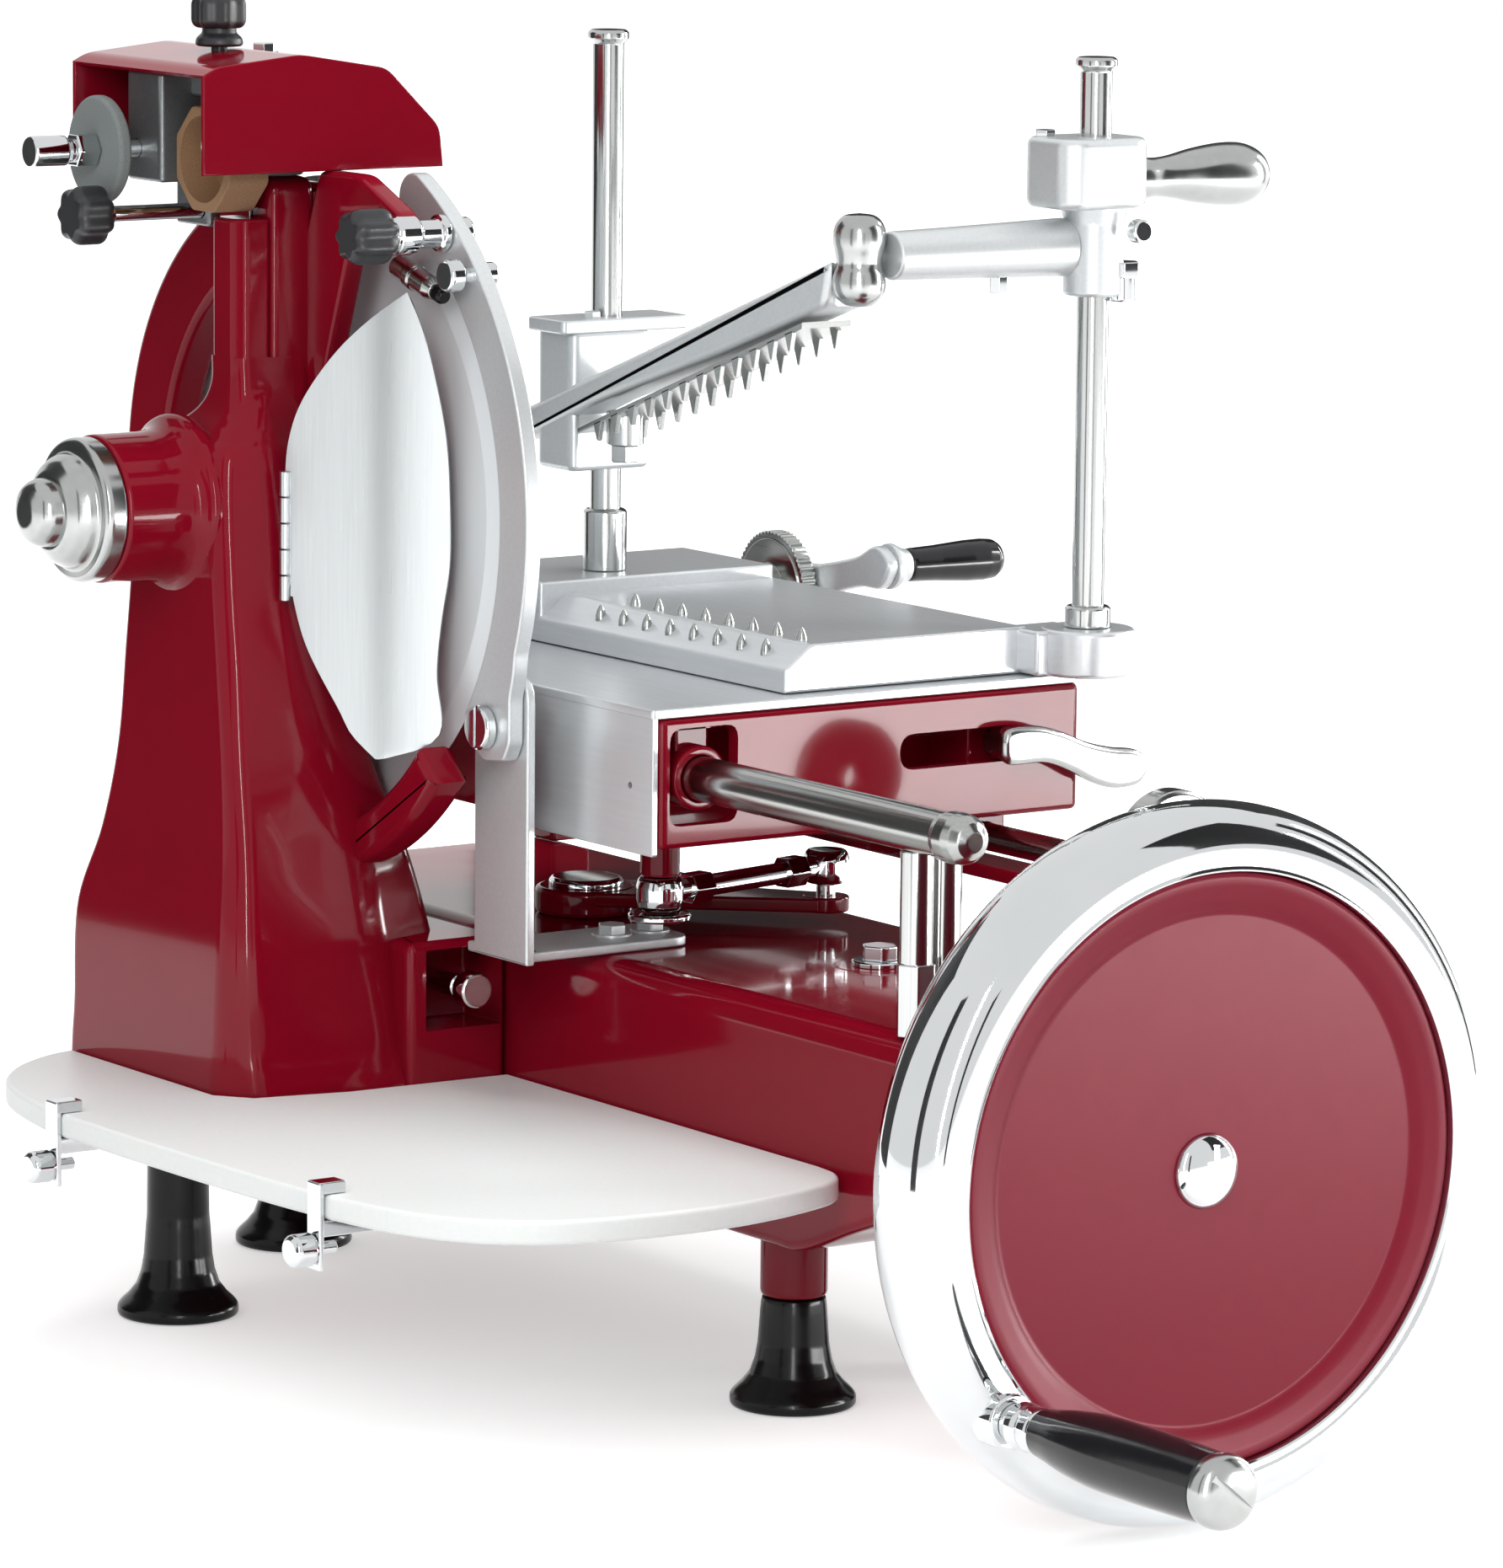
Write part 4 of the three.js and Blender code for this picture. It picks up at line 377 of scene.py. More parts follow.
def make_finishes(colours):
    """Every finish by its short name: its two tones, grain in mm, roughness and height of the bump."""
    enamel, dish = (*colours.enamel, 1.0), (*colours.dish, 1.0)
    return {
        # Sprayed and baked, so it shines, with a very faint waviness of the paint film
        "red": finish("gloss baked enamel", (enamel, darker(enamel)), 26, (0.07, 0.12), 0.03, detail=1.0,
                      Specular_IOR_Level=0.14, Coat_Weight=0.1, Coat_Roughness=0.03),
        # The dish of the wheel is sprayed with the same paint and cured less glossy
        "satin": finish("satin baked enamel", (dish, darker(dish)), 14, (0.30, 0.38), 0.02, detail=2.0,
                        Specular_IOR_Level=0.1, Coat_Weight=0.04, Coat_Roughness=0.25),
        # Plating hides its own grain, so only the roughness moves a little
        "chrome": finish("bright chrome plate", ("#d9dbdc", "#cfd2d4"), 40, (0.035, 0.07), 0, Metallic=1.0),
        # The same plating over a brushed knuckle, a little cloudy
        "satin_chrome": finish("satin chrome plate", ("#b6b8b7", "#a9abaa"), 6, (0.16, 0.24), 0.003,
                               Metallic=1.0),
        # Ground lengthwise: marks a few tenths wide are drawn 1 mm wide so that they show
        "steel": finish("ground steel bar", ("#b9bbb9", "#a3a5a3"), 1.0, (0.14, 0.26), 0.004, (1, 0.02, 1),
                        Metallic=1.0),
        # The same grinding on the upright bars, so the marks run up
        "steel_up": finish("ground steel post", ("#c4c6c5", "#aeb0af"), 1.0, (0.10, 0.20), 0.004, (1, 1, 0.02),
                           Metallic=1.0),
        # Brushed up and down, which spreads what it mirrors sideways; the marks are drawn coarser too
        "sheet": finish("satin stainless sheet", ("#c2c6c7", "#b5b9bb"), 1.2, (0.24, 0.34), 0.004, (1, 1, 0.03),
                        Metallic=1.0),
        # Lapped on a turning table: rings round the blade's middle, so fine that it looks milky
        "blade": finish("ground blade steel", ("#e2e6e8", "#d4d9dc"), 0.8, (0.34, 0.46), 0.003,
                        around=((0, 0, BLADE_Z), "x"), Metallic=0.2),
        # Tumbled after casting: a soft even grain that hardly mirrors
        "cast": finish("satin cast aluminium", ("#d3d6d7", "#c3c7c9"), 1.6, (0.30, 0.42), 0.012, Metallic=0.55),
        # Milled and polished along Y, so it is smoother than the castings
        "milled": finish("polished aluminium", ("#dadddf", "#cccfd2"), 2.5, (0.26, 0.38), 0.004, (1, 0.05, 1),
                         Metallic=0.6),
        # Turned and buffed, so it shines like hard rubber
        "gloss_black": finish("polished black phenolic", ("#141416", "#1c1c1f"), 5, (0.12, 0.2), 0.01,
                              Specular_IOR_Level=0.35, Coat_Weight=0.1),
        # Moulded against an eroded tool: a fine dull grain
        "matt_black": finish("moulded black nylon", ("#1b1c1e", "#2a2b2e"), 0.9, (0.34, 0.48), 0.05),
        # Pressed sheet, waxy and slightly see-through at its edge
        "board": finish("white polyethylene board", ("#eef1f0", "#e7ebea"), 3, (0.38, 0.5), 0.01,
                        Subsurface_Weight=0.12, Subsurface_Scale=0.004),
        # Pressed and fired grit, dull and speckled
        "stone": finish("grey vitrified grinding stone", ("#8b9190", "#5f6665"), 0.7, (0.8, 0.95), 0.12,
                        detail=6.0),
        # Grit held in brown resin
        "cup": finish("tan bonded abrasive", ("#a3805f", "#76573c"), 0.8, (0.8, 0.95), 0.15, detail=6.0),
        # A thin crystalline coat that takes the shine off steel
        "dark": finish("phosphated steel", ("#85898b", "#6f7375"), 1.5, (0.3, 0.42), 0.01, Metallic=0.6),
        # Moulded and oiled, almost black with a smooth sheen
        "rubber": finish("black rubber foot", ("#0b0b0c", "#121214"), 4, (0.16, 0.26), 0.01,
                         Specular_IOR_Level=0.22),
    }


FINISHES = {}


# Sizes and colours that a user would change


def span(node, axis):
    """How far a CAD node reaches along an axis, in metres."""
    low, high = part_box(node)
    return high[axis] - low[axis]


def length_property(label, words, default):
    """A length in metres with its label, description and default."""
    return bpy.props.FloatProperty(name=label, description=words, default=default, min=0.0, unit="LENGTH",
                                   precision=4)


def paint_property(label, words, colour):
    """A paint with its label, description and sRGB hex default."""
    return bpy.props.FloatVectorProperty(name=label, description=words, subtype="COLOR",
                                         default=linear(colour)[:3], min=0.0, max=1.0)


class SlicerSizes(bpy.types.PropertyGroup):
    blade_radius: length_property("Blade radius", "From the blade's middle to its edge", span("blade", 2) / 2)
    wheel_radius: length_property("Wheel radius", "Outer radius of the flywheel's rim", 0.167)
    dish_radius: length_property("Dish radius", "Outer radius of the flywheel's painted dish", 0.137)
    wheel_x: length_property("Wheel across", "The main shaft's place across the machine", 0.078)
    wheel_z: length_property("Wheel height", "The main shaft's height", 0.171)
    rail_radius: length_property("Front rail radius", "Radius of the front guide bar",
                                 span("rail_front", 0) / 2 - 0.0015)
    foot_radius: length_property("Foot radius", "Radius of a foot's rim", span("foot_rear", 0) / 2)
    board_thickness: length_property("Board thickness", "Thickness of the slice tray", span("tray_board", 2))
    beam_edge: length_property("Beam edge", "Radius of the base beam's long upper edges", 0.014)
    cover_bulge: length_property("Cover bulge", "How far the blade cover bows out", 0.007)
    hood_sheet: length_property("Hood sheet", "Thickness of the sharpener hood", 0.003)


class SlicerColours(bpy.types.PropertyGroup):
    enamel: paint_property("Enamel", "Gloss paint of the castings", "#84091f")
    dish: paint_property("Dish", "Satin paint of the wheel's dish", "#821c2f")


# Places that several pieces share


BLADE_Z = 420.0
BLADE_AXIS = (0.0, 0.0, BLADE_Z)
# The cover's hinge pin and, in the plane of the cover, its far edge, as (X, Y)
HINGE = (-64.0, -58.2)
COVER_FAR = (-12.0, -128.0)
# The beam's sides and its upper face, the deck
BEAM_X = (48.0, 240.0)
DECK = 203.0
# The main shaft and the flywheel's middle along it
SHAFT = (78.0, 0.0, 171.0)
WHEEL_Y = -609.0
# The underside of the slice board
BOARD = 120.0
# The carriage casting's left and right, front and rear, and low and high sides
CARRIAGE = ((27.0, 281.0), (-256.0, 60.0), (270.0, 334.0))
RAIL_FRONT = (54.0, 0.0, 303.0)
RAIL_REAR = (235.0, 0.0, 258.0)
# Fasteners, knobs and pins, each with its own axis left at zero
DECK_BOLT = (155.0, -262.0, 0.0)
COLUMN_PIN = (16.0, 0.0, 180.0)
RING_SCREW = (0.0, -152.0, 320.0)
GUARD_KNOB = (0.0, -112.0, 560.0)
LOCK_LEVER = (234.5, 0.0, 307.0)
# The rocker's pin on the deck, its arm's reach and heading, and the joint under the carriage
ROCKER = np.array([118.0, -55.0])
ROCKER_TIP = 125 * np.array([math.cos(math.radians(-46)), math.sin(math.radians(-46))])
CARRIAGE_JOINT = (86.0, -170.0)
# The table's underside and top, its rods, the feed screw and the end of the feed crank
TABLE_Z = (339.6, 363.0)
ROD_LEFT = (166.0, 2.0, 0.0)
ROD_RIGHT = (280.0, -262.0, 0.0)
FEED = (0.0, 20.0, 350.0)
CRANK_END = (0.0, -62.0, 370.0)
# The press: its elbow, and the upper edge of its beam as (Y, Z) at both ends
ELBOW = (146.0, -250.0, 0.0)
BEAM_HIGH, BEAM_LOW = (-244.0, 551.0), (34.0, 452.0)
# The sharpener's spindle, cup, pusher and clamp knob
SPINDLE = (0.0, 45.0, 594.0)
CUP = (0.0, -12.0, 592.0)
PUSHER = (0.0, 30.0, 563.0)
TOP_KNOB = (-60.0, 12.0, 0.0)

# The column's outline as (X, Y) at rising heights, from its rear left corner round its front
TOWER = [
    (104, [(-106, 86), (-106, -62), (-94, -78), (-46, -88), (44, -91), (44, 86)]),
    (128, [(-106, 86), (-106, -62), (-94, -78), (-42, -88), (43, -91), (43, 86)]),
    (142, [(-106, 85), (-106, -63), (-94, -78), (-28, -85), (34, -80), (34, 85)]),
    (158, [(-105.5, 84), (-105.5, -65), (-93.5, -77), (-18, -82), (30, -69), (30, 84)]),
    (208, [(-104, 83), (-104, -65), (-94, -75), (-24, -77), (21, -62), (21, 83)]),
    (250, [(-100.5, 64), (-100.5, -61), (-93, -70), (-31, -72), (7, -62), (7, 64)]),
    (295, [(-99, 50), (-99, -57), (-92, -64), (-40, -67), (-13, -62), (-13, 50)]),
    (345, [(-98, 44), (-98, -50), (-91.5, -58), (-47, -60), (-23, -53), (-23, 44)]),
    (385, [(-97, 40), (-97, -44), (-91, -52), (-54, -54), (-30, -44), (-30, 40)]),
    (440, [(-95, 38), (-95, -36), (-90, -44), (-66, -51), (-36, -38), (-36, 38)]),
    (456, [(-88, 18), (-88, -30), (-84, -38), (-67, -46), (-38, -35), (-38, 18)]),
    (468, [(-79, 4), (-79, -27), (-75, -33), (-66, -39), (-34, -33), (-34, 4)]),
    (480, [(-75.5, -2), (-75.5, -25), (-71, -31), (-60, -32), (-29.5, -31), (-29.5, -3)]),
    (494, [(-75, -2), (-75, -25), (-70, -30), (-57, -30), (-29, -30), (-29, -4)]),
]
TOWER_CORNERS = [6, 9, 8, 12, 9, 6]
# The strut that carries the hood, as (Y, Z)
STRUT = [(12, 455), (-34, 455), (-72, 560), (-100, 549), (-115, 550), (-122, 560), (-115, 570), (-76, 586.7),
         (-40, 586.7)]
# The cover's edges: height and distance from the hinge
COVER_LEFT = [(300, 51), (312, 38), (324, 31), (355, 12), (384, 3), (400, 0), (440, 0), (460, 3), (478, 11),
              (500, 28), (517, 46), (532, 66)]
COVER_RIGHT = [(300, 51), (304, 68), (315, 83), (343, 81), (369, 83), (398, 87), (428, 87), (461, 85),
               (493, 79), (515, 73), (532, 66)]
# The board's free edge and the edge along the castings, as (X, Y)
TRAY_FREE = [(-107, 80), (-126, 74), (-150, 58), (-170, 36), (-184, 8), (-193, -30), (-197, -66), (-197, -160),
             (-193, -261), (-184, -330), (-168, -372), (-143, -398), (-115, -411), (-80, -417), (-43, -418),
             (-14, -414), (14, -406), (34, -397), (44, -384), (46.8, -366)]
TRAY_INNER = [(46.8, -92.6), (-46, -89.6), (-94.6, -79.4), (-107.2, -63)]
# The hood from its left edge over the roof to its right edge, as (X, Z)
HOOD_LEFT = (-106, 587)
HOOD_ROOF = [(-106, 636), (-98, 640), (-50, 645), (0, 637), (31, 607), (33, 587)]
# Each foot's place and the height of its top; its outline as (share of the radius, height)
FEET = {"foot_column": (-75, 28, 105.7), "foot_rear": (66, 146, 54), "foot_front_left": (76, -304, 54),
        "foot_front_right": (210, -304, 54)}
FOOT_SHARE = [(0, 0), (0.965, 0), (1, 1.4), (1, 5), (0.95, 7.2), (0.82, 11), (0.69, 16), (0.61, 23),
              (0.565, 31), (0.545, 40), (0.53, 47), (0.515, 52)]
# The rim's outline: share of the way from dish to rim, and place along the shaft
RIM_SHARE = [(0, -20), (0.12, -22.6), (0.32, -24), (0.55, -22.6), (0.77, -17.5), (0.93, -9.5), (1, 0),
             (0.97, 9), (0.84, 16.5), (0.66, 21.4), (0.46, 23.6), (0.24, 23), (0.06, 19.5), (0, 14)]


def arc(radius, start, end, count):
    """Points of an arc round the blade's axis in (Y, Z), its angles in degrees from +Y upwards."""
    angle = np.radians(np.linspace(start, end, count))
    return radius * np.stack([np.cos(angle), np.sin(angle)], 1)


def sector(inner, outer, start, end, count=72):
    """Outline of part of a flat ring round the blade's axis: one arc out and one arc back."""
    return np.concatenate([arc(inner, start, end, count), arc(outer, start, end, count)[::-1]]) + (0, BLADE_Z)


# Base and column


def base_shells(sizes):
    """The beam is a rounded rectangle carried along Y, drawn in at its nose, less the hollow below it."""
    left, right = BEAM_X
    rear, wall, roof = 158, 8, 9
    floors = [(-444, 130), (-420, 115), (-385, 101), (-345, 86), (-310, 85), (-150, 85), (0, 85), (rear, 85)]
    levels = [(y, [(left, low), (right, low), (right, DECK), (left, DECK)]) for y, low in floors]
    edge = sizes.beam_edge / MM
    beam = lofted(levels, [6, 6, edge, edge], "y", 50, 8)
    room = block((left + wall, right - wall), (-333, rear - wall), (70, DECK - roof), 2, 6)
    places = [(x, y, 0) for name, (x, y, _) in FEET.items() if name != "foot_column"]
    stem = [(0, 54.3), (16.5, 54.3), (16.5, 84), (20, 92), (26, 97), (26, 110), (0, 110)]
    stems = [turned(stem, "z", place, 3) for place in places]
    posts = [rod("z", 16, 96, 198, place, 0.5, 32) for place in places]
    boss = turned([(14, -577), (31, -577), (34, -571), (34, -466), (38, -452), (46, -440), (14, -440),
                   (14, -577)], "y", SHAFT, 4)
    bearing = tube("y", 22, 13.3, -56, -32, SHAFT)
    hanger = block((58, 98), (-55, -33), (192, 199), 1, 2)
    pad = turned([(0, 200), (24, 200), (24, 202.6), (22, 203.2), (0, 203.2)], "z", DECK_BOLT, 0.5)
    return joined(carved(beam, room), *stems, *posts, boss, bearing, hanger, pad)


def column_shells():
    """Rounded outlines of six corners rise from the skirt to the post; boss, post, arch and strut grow out of
    them. The recess is cut a little wider in the tower than in the skirt, so that their faces stay apart."""
    tower = lofted(TOWER, TOWER_CORNERS, "z", 110)
    skirt = block((-12, 45.8), (-92, 85.4), (106, DECK), 5, 5)
    recess = block((-2, 43), (-130, -58), (158, 199), 1, 3)
    wider_recess = block((-2.5, 43.5), (-130, -57.5), (157.5, 199.5), 1, 3)
    boss = turned([(0, -140), (36, -140), (37, -138.6), (37, -112), (38, -104), (41, -99), (45, -95.6),
                   (45, -88), (0, -88)], "x", BLADE_AXIS, 3, 96)
    post = slab([(-75, -7), (-75, -24), (-69.5, -30), (-56, -30), (-56, -3), (-70, -3)], "z", 440, 563, 2, 2)
    rib = slab([(-6, 440), (-30, 440), (-30, 583), (-6, 583)], "x", -55.5, -29, 5, [0, 0, 9, 5])
    web = (-30, -8)
    arch = slab(sector(118, 158, -72, 100), "x", *web, 5)
    strut = slab(STRUT, "x", -34, -22, 2.5, 5)
    lug = slab(sector(168, 191, -138, -104), "x", *web, 5)
    seat = block((-102, -59), (13, 43), (105.9, 122), 1, 3)
    return joined(carved(tower, wider_recess), carved(skirt, recess), boss, post, rib, arch, strut, lug, seat)


def build_base(sizes):
    """The casting, four feet turned from one profile of shares of their radius, and the bolt on the deck."""
    piece("base_beam", base_shells(sizes), "base", "red_paint", "red", "base_casting")
    radius = sizes.foot_radius / MM
    for name, (x, y, top) in FEET.items():
        profile = [(r * radius, z) for r, z in FOOT_SHARE] + [(0.5 * radius, top), (0, top)]
        piece(name + "_rubber", turned(profile, "z", (x, y, 0), 1.2), "base", "black_plastic", "rubber", name)
    floor = DECK + GAP
    washer = turned([(0, floor), (14, floor), (14, 205.4), (13.4, 206), (0, 206)], "z", DECK_BOLT, 0.3)
    head = even_sided("z", 9.4, 205.8, 213.3, DECK_BOLT, 0.8)
    piece("deck_bolt_head", joined(washer, head), "base", "steel", "chrome", "deck_bolt")


def build_column():
    """The casting, the stepped and domed bearing cap, and the pull pin, both turned from profiles."""
    piece("column", column_shells(), "base", "red_paint", "red", "column_casting")
    cap = turned([(0, -140.3), (36, -140.3), (36, -149.5), (34.5, -152), (29, -152.6), (28, -157), (25, -162),
                  (19.5, -166), (0, -166)], "x", BLADE_AXIS, 1.6, 96)
    nut = turned([(0, -160), (17, -160), (17.4, -164), (16.8, -172), (14, -176.5), (8, -179), (0, -179.6)], "x",
                 BLADE_AXIS, 2, 72)
    piece("bearing_cap_plated", joined(cap, nut), "base", "chrome", "satin_chrome", "bearing_cap")
    pin = turned([(0, -112), (8.2, -112), (9, -111), (9, -102), (8, -101), (4.8, -101), (4.8, -96), (6, -95.5),
                  (6, -40), (0, -40)], "y", COLUMN_PIN, 0.7, 40)
    piece("column_pin_turned", pin, "lock_pin", "chrome", "chrome", "column_pin")


# Blade, cover and guard


def cover_shell(sizes):
    """Rows of height z run from the left to the right edge curve, each bowed by bulge sin(pi u / length)."""
    hinge, far, thick, least_width = np.array(HINGE), np.array(COVER_FAR), 1.6, 0.4
    length = np.linalg.norm(far - hinge)
    z = np.concatenate([[300.3], np.linspace(301, 531, 56), [531.7]])
    edges = [smooth_line(side, 120) for side in (COVER_LEFT, COVER_RIGHT)]
    left, right = (np.interp(z, edge[:, 0], edge[:, 1])[:, None] for edge in edges)
    u = left + np.maximum(right - left, least_width) * np.linspace(0, 1, 28)[None]
    bow = -sizes.cover_bulge / MM * np.sin(np.pi * np.clip(u / length, 0, 1))
    across = np.concatenate([u, u[:, ::-1]], 1)
    depth = np.concatenate([bow, bow[:, ::-1] + thick], 1)
    way = (far - hinge) / length
    side = np.array([-way[1], way[0]])
    flat = hinge + across[..., None] * way + depth[..., None] * side
    return ring_shell(placed(flat, z[:, None], "z"))


def build_blade(sizes):
    """The blade is a profile turned about its shaft; the cover has a leaf and five knuckles at its hinge."""
    r = sizes.blade_radius / MM
    profile = [(0, 0), (r, 0), (r, -0.8), (r - 12, -3.6), (r - 24, -3.6), (60, -6), (0, -6)]
    piece("blade_ground", turned(profile, "x", BLADE_AXIS, 0.5, FINE), "blade_unit", "blade_steel", "blade",
          "blade")
    hinge = (*HINGE, 0)
    bottom, pitch, length = 376, 13, 12.3
    knuckles = [tube("z", 3, 0.8, bottom + k * pitch, bottom + k * pitch + length, hinge, 0.4, 24)
                for k in range(5)]
    turn = math.atan2(COVER_FAR[1] - HINGE[1], COVER_FAR[0] - HINGE[0])
    leaf = moved(block((0.5, 9), (-0.2, 1.8), (378, 438), 0.4, 0.5), hinge, turn)
    piece("blade_cover_sheet", joined(cover_shell(sizes), leaf, *knuckles), "cover", "blade_steel", "sheet",
          "blade_cover")


def guard_outline():
    """The guard in (Y, Z): outer arc, the pad for its screw, inner arc, and a half circle round its top."""
    top, middle, half = 118, 175.5, 12.5
    way = arc(1, top, top, 1)
    back = way[:, ::-1] * (1, -1)
    bend = np.linspace(0, math.pi, 14)[1:-1, None]
    end = (middle - half * np.cos(bend)) * way + half * np.sin(bend) * back
    pad = [(-176.4, -72), (-173, -84), (-173, -106), (-168, -115), (-150, -117), (-141, -112), (-138, -104)]
    outer, inner = arc(middle + half, top, 199, 60), arc(middle - half, 216, top, 72)
    return np.concatenate([outer, pad, inner, end]) + (0, BLADE_Z)


def build_guard():
    """The guard is its outline made a slab, the bracket two slabs with a fillet, and the rest is turned."""
    piece("guard_ring_plate", slab(guard_outline(), "x", -6, 2.7, 1.2, 2.5), "base", "aluminium", "cast",
          "guard_ring")

    floor, top = DECK + GAP, 208
    strip = slab([(-128, floor), (-176, floor), (-176, 347), (-128, 347)], "x", 3, 8, 1.2, [1, 1, 14, 14])
    foot = slab([(3.2, -168), (108, -168), (108, -122), (3.2, -122)], "z", floor, top + GAP, 1, [1, 12, 12, 1])
    fillet = slab([(7.5, top), (16, top), (10, 210), (7.9, 217)], "y", -167, -129, 0.4, 2)
    places = [(x, -145, 0) for x in (74, 97)]
    bolts = [even_sided("z", 7.4, top, 214, place, 0.8) for place in places]
    washers = [rod("z", 10, top, 209.4, place, 0.3, 32) for place in places]
    piece("ring_bracket_bent", joined(strip, foot, fillet, *bolts, *washers), "base", "aluminium", "cast",
          "ring_bracket")

    head = turned([(0, -12.3), (9.8, -12.3), (11, -11), (11, -6.9), (10.4, -6.3), (0, -6.3)], "x", RING_SCREW,
                  0.7, 48)
    head = carved(head, block((-20, -10), (-153.3, -150.7), (300, 340), 0, 0))
    screw = joined(head, rod("x", 4, -6.5, 14, RING_SCREW, 0.5, 24),
                   even_sided("x", 8, 8.3, 14.3, RING_SCREW, 0.8))
    piece("ring_screw_slotted", screw, "base", "chrome", "chrome", "ring_screw")

    grip = lobed("x", 14, 2.4, -62, -38, GUARD_KNOB)
    piece("ring_knob_grip", grip, "guard_knob", "knob_plastic", "matt_black")
    sleeve = [(0, -37), (8.6, -37), (9, -35), (9.6, -34.4), (9.6, -24), (7, -22), (7, -11), (9.4, -10),
              (9.4, -6.6), (0, -6.6)]
    cap = [(0, 3.2), (7, 3.2), (7.5, 4), (7.5, 7), (6, 8.6), (0, 8.6)]
    stud = joined(rod("x", 4, -60, 8.7, GUARD_KNOB, 0.6, 24),
                  even_sided("x", 9, -38.2, -34.3, GUARD_KNOB, 0.7),
                  turned(sleeve, "x", GUARD_KNOB, 0.8, 40), turned(cap, "x", GUARD_KNOB, 0.6, 32))
    piece("ring_knob_stud", stud, "guard_knob", "chrome", "chrome", "ring_knob")
    pin = turned([(0, -20), (7, -20), (8, -18.5), (8, -12), (3.5, -9), (3.5, 3), (6, 3.1), (6, 8), (5, 9),
                  (0, 9)], "x", (0, -134, 541), 0.7, 32)
    piece("ring_stop_pin", pin, "base", "knob_plastic", "chrome", "ring_stop")

    place, tilt = (-13, -84, 541), math.radians(106)
    barrel = turned([(0, -4), (4.6, -4), (6, -2), (6, 9), (6.8, 10), (6.8, 15), (6, 16), (6, 28), (4.4, 33.5),
                     (0, 33.5)], "z", soft=0.6, sides=32)
    piece("cover_catch_barrel", moved(barrel, place, tilt, "X"), "base", "chrome", "satin_chrome")
    tip = turned([(0, 33.2), (3.6, 33.2), (4.4, 35), (4.2, 40), (3, 42), (0, 42)], "z", soft=0.8, sides=32)
    piece("cover_catch_tip", moved(tip, place, tilt, "X"), "base", "black_plastic", "rubber")


# Flywheel and its handle


def build_flywheel(sizes):
    """Rim, dish and handle are profiles turned about the shaft and the handle's pin; two heads get a slot."""
    cx, cz = sizes.wheel_x / MM, sizes.wheel_z / MM
    centre = (cx, WHEEL_Y, cz)
    dish = sizes.dish_radius / MM
    outer, inner = sizes.wheel_radius / MM, dish + GAP
    line = smooth_line([(inner + s * (outer - inner), t) for s, t in RIM_SHARE], 56, closed=True)
    rim = turned(np.concatenate([line, line[:1]]), "y", centre, 0, FINE)
    handle_turn, handle_reach = math.radians(221), 152
    spot = (cx + handle_reach * math.cos(handle_turn), WHEEL_Y, cz + handle_reach * math.sin(handle_turn))
    boss = turned([(0, -27), (12, -27), (13, -26), (13, -12), (0, -12)], "y", spot, 0.8, 48)
    piece("flywheel_rim_plated", joined(rim, boss), "flywheel", "chrome", "chrome", "flywheel_rim")
    profile = [(13.3, -15), (25, -15), (dish - 19, -15.6), (dish - 16.5, -17.2), (dish - 13.5, -18.5),
               (dish - 5, -20.6), (dish - 1.5, -20.8), (dish, -19.6), (dish, -7), (dish - 18, -5.2), (42, -5.2),
               (36, 14), (13.3, 14), (13.3, -15)]
    piece("flywheel_dish", turned(profile, "y", centre, 1.6, FINE), "flywheel", "satin_red", "satin",
          "flywheel_disc")

    radius, flat, rise = 17.5, -15.3, 7.2
    bend = np.linspace(0, math.pi / 2, 12)
    dome = np.stack([radius * np.sin(bend), flat - rise * np.cos(bend)], 1)
    screw = turned(np.concatenate([dome, [(0, flat)]]), "y", soft=0, sides=72)
    slot = block((-1.5, 1.5), (-30, -20.4), (-22, 22), 0, 0)
    screw = carved(screw, moved(slot, (0, 0, 0), math.radians(8), "Y"))
    piece("flywheel_screw_domed", moved(screw, centre), "flywheel", "chrome", "chrome", "flywheel_screw")

    collar = [(0, -27.3), (9, -27.3), (9, -31), (11, -33), (11, -38), (10, -40), (10.6, -42), (11, -48),
              (10, -50), (6, -50), (6, -174), (0, -174)]
    piece("handle_pin_turned", turned(collar, "y", spot, 0.7, 48), "flywheel", "chrome", "chrome", "handle_pin")
    swell = smooth_line([(11, -50.3), (12.2, -58), (14.6, -72), (16.6, -92), (17.1, -118), (16.8, -150),
                         (16.2, -172)], 40)
    grip = np.concatenate([[(6.3, -50.3)], swell, [(15.6, -173.8), (6.3, -173.8), (6.3, -50.3)]])
    piece("handle_grip_polished", turned(grip, "y", spot, 0.3, 72), "wheel_grip", "black_plastic",
          "gloss_black", "handle_grip")
    head = smooth_line([(17, -174.3), (17, -178), (15.6, -182), (11.5, -185), (6, -186.2), (0.4, -186.4)], 24)
    cap = turned(np.concatenate([[(0, -174.3)], head, [(0, -186.4)]]), "y", soft=0, sides=72)
    slot = block((-22, 22), (-200, -184.2), (-1.4, 1.4), 0, 0)
    cap = carved(cap, moved(slot, (0, 0, 0), math.radians(40), "Y"))
    piece("handle_cap_domed", moved(cap, spot), "flywheel", "chrome", "satin_chrome", "handle_cap")


# Tray, rails and carriage


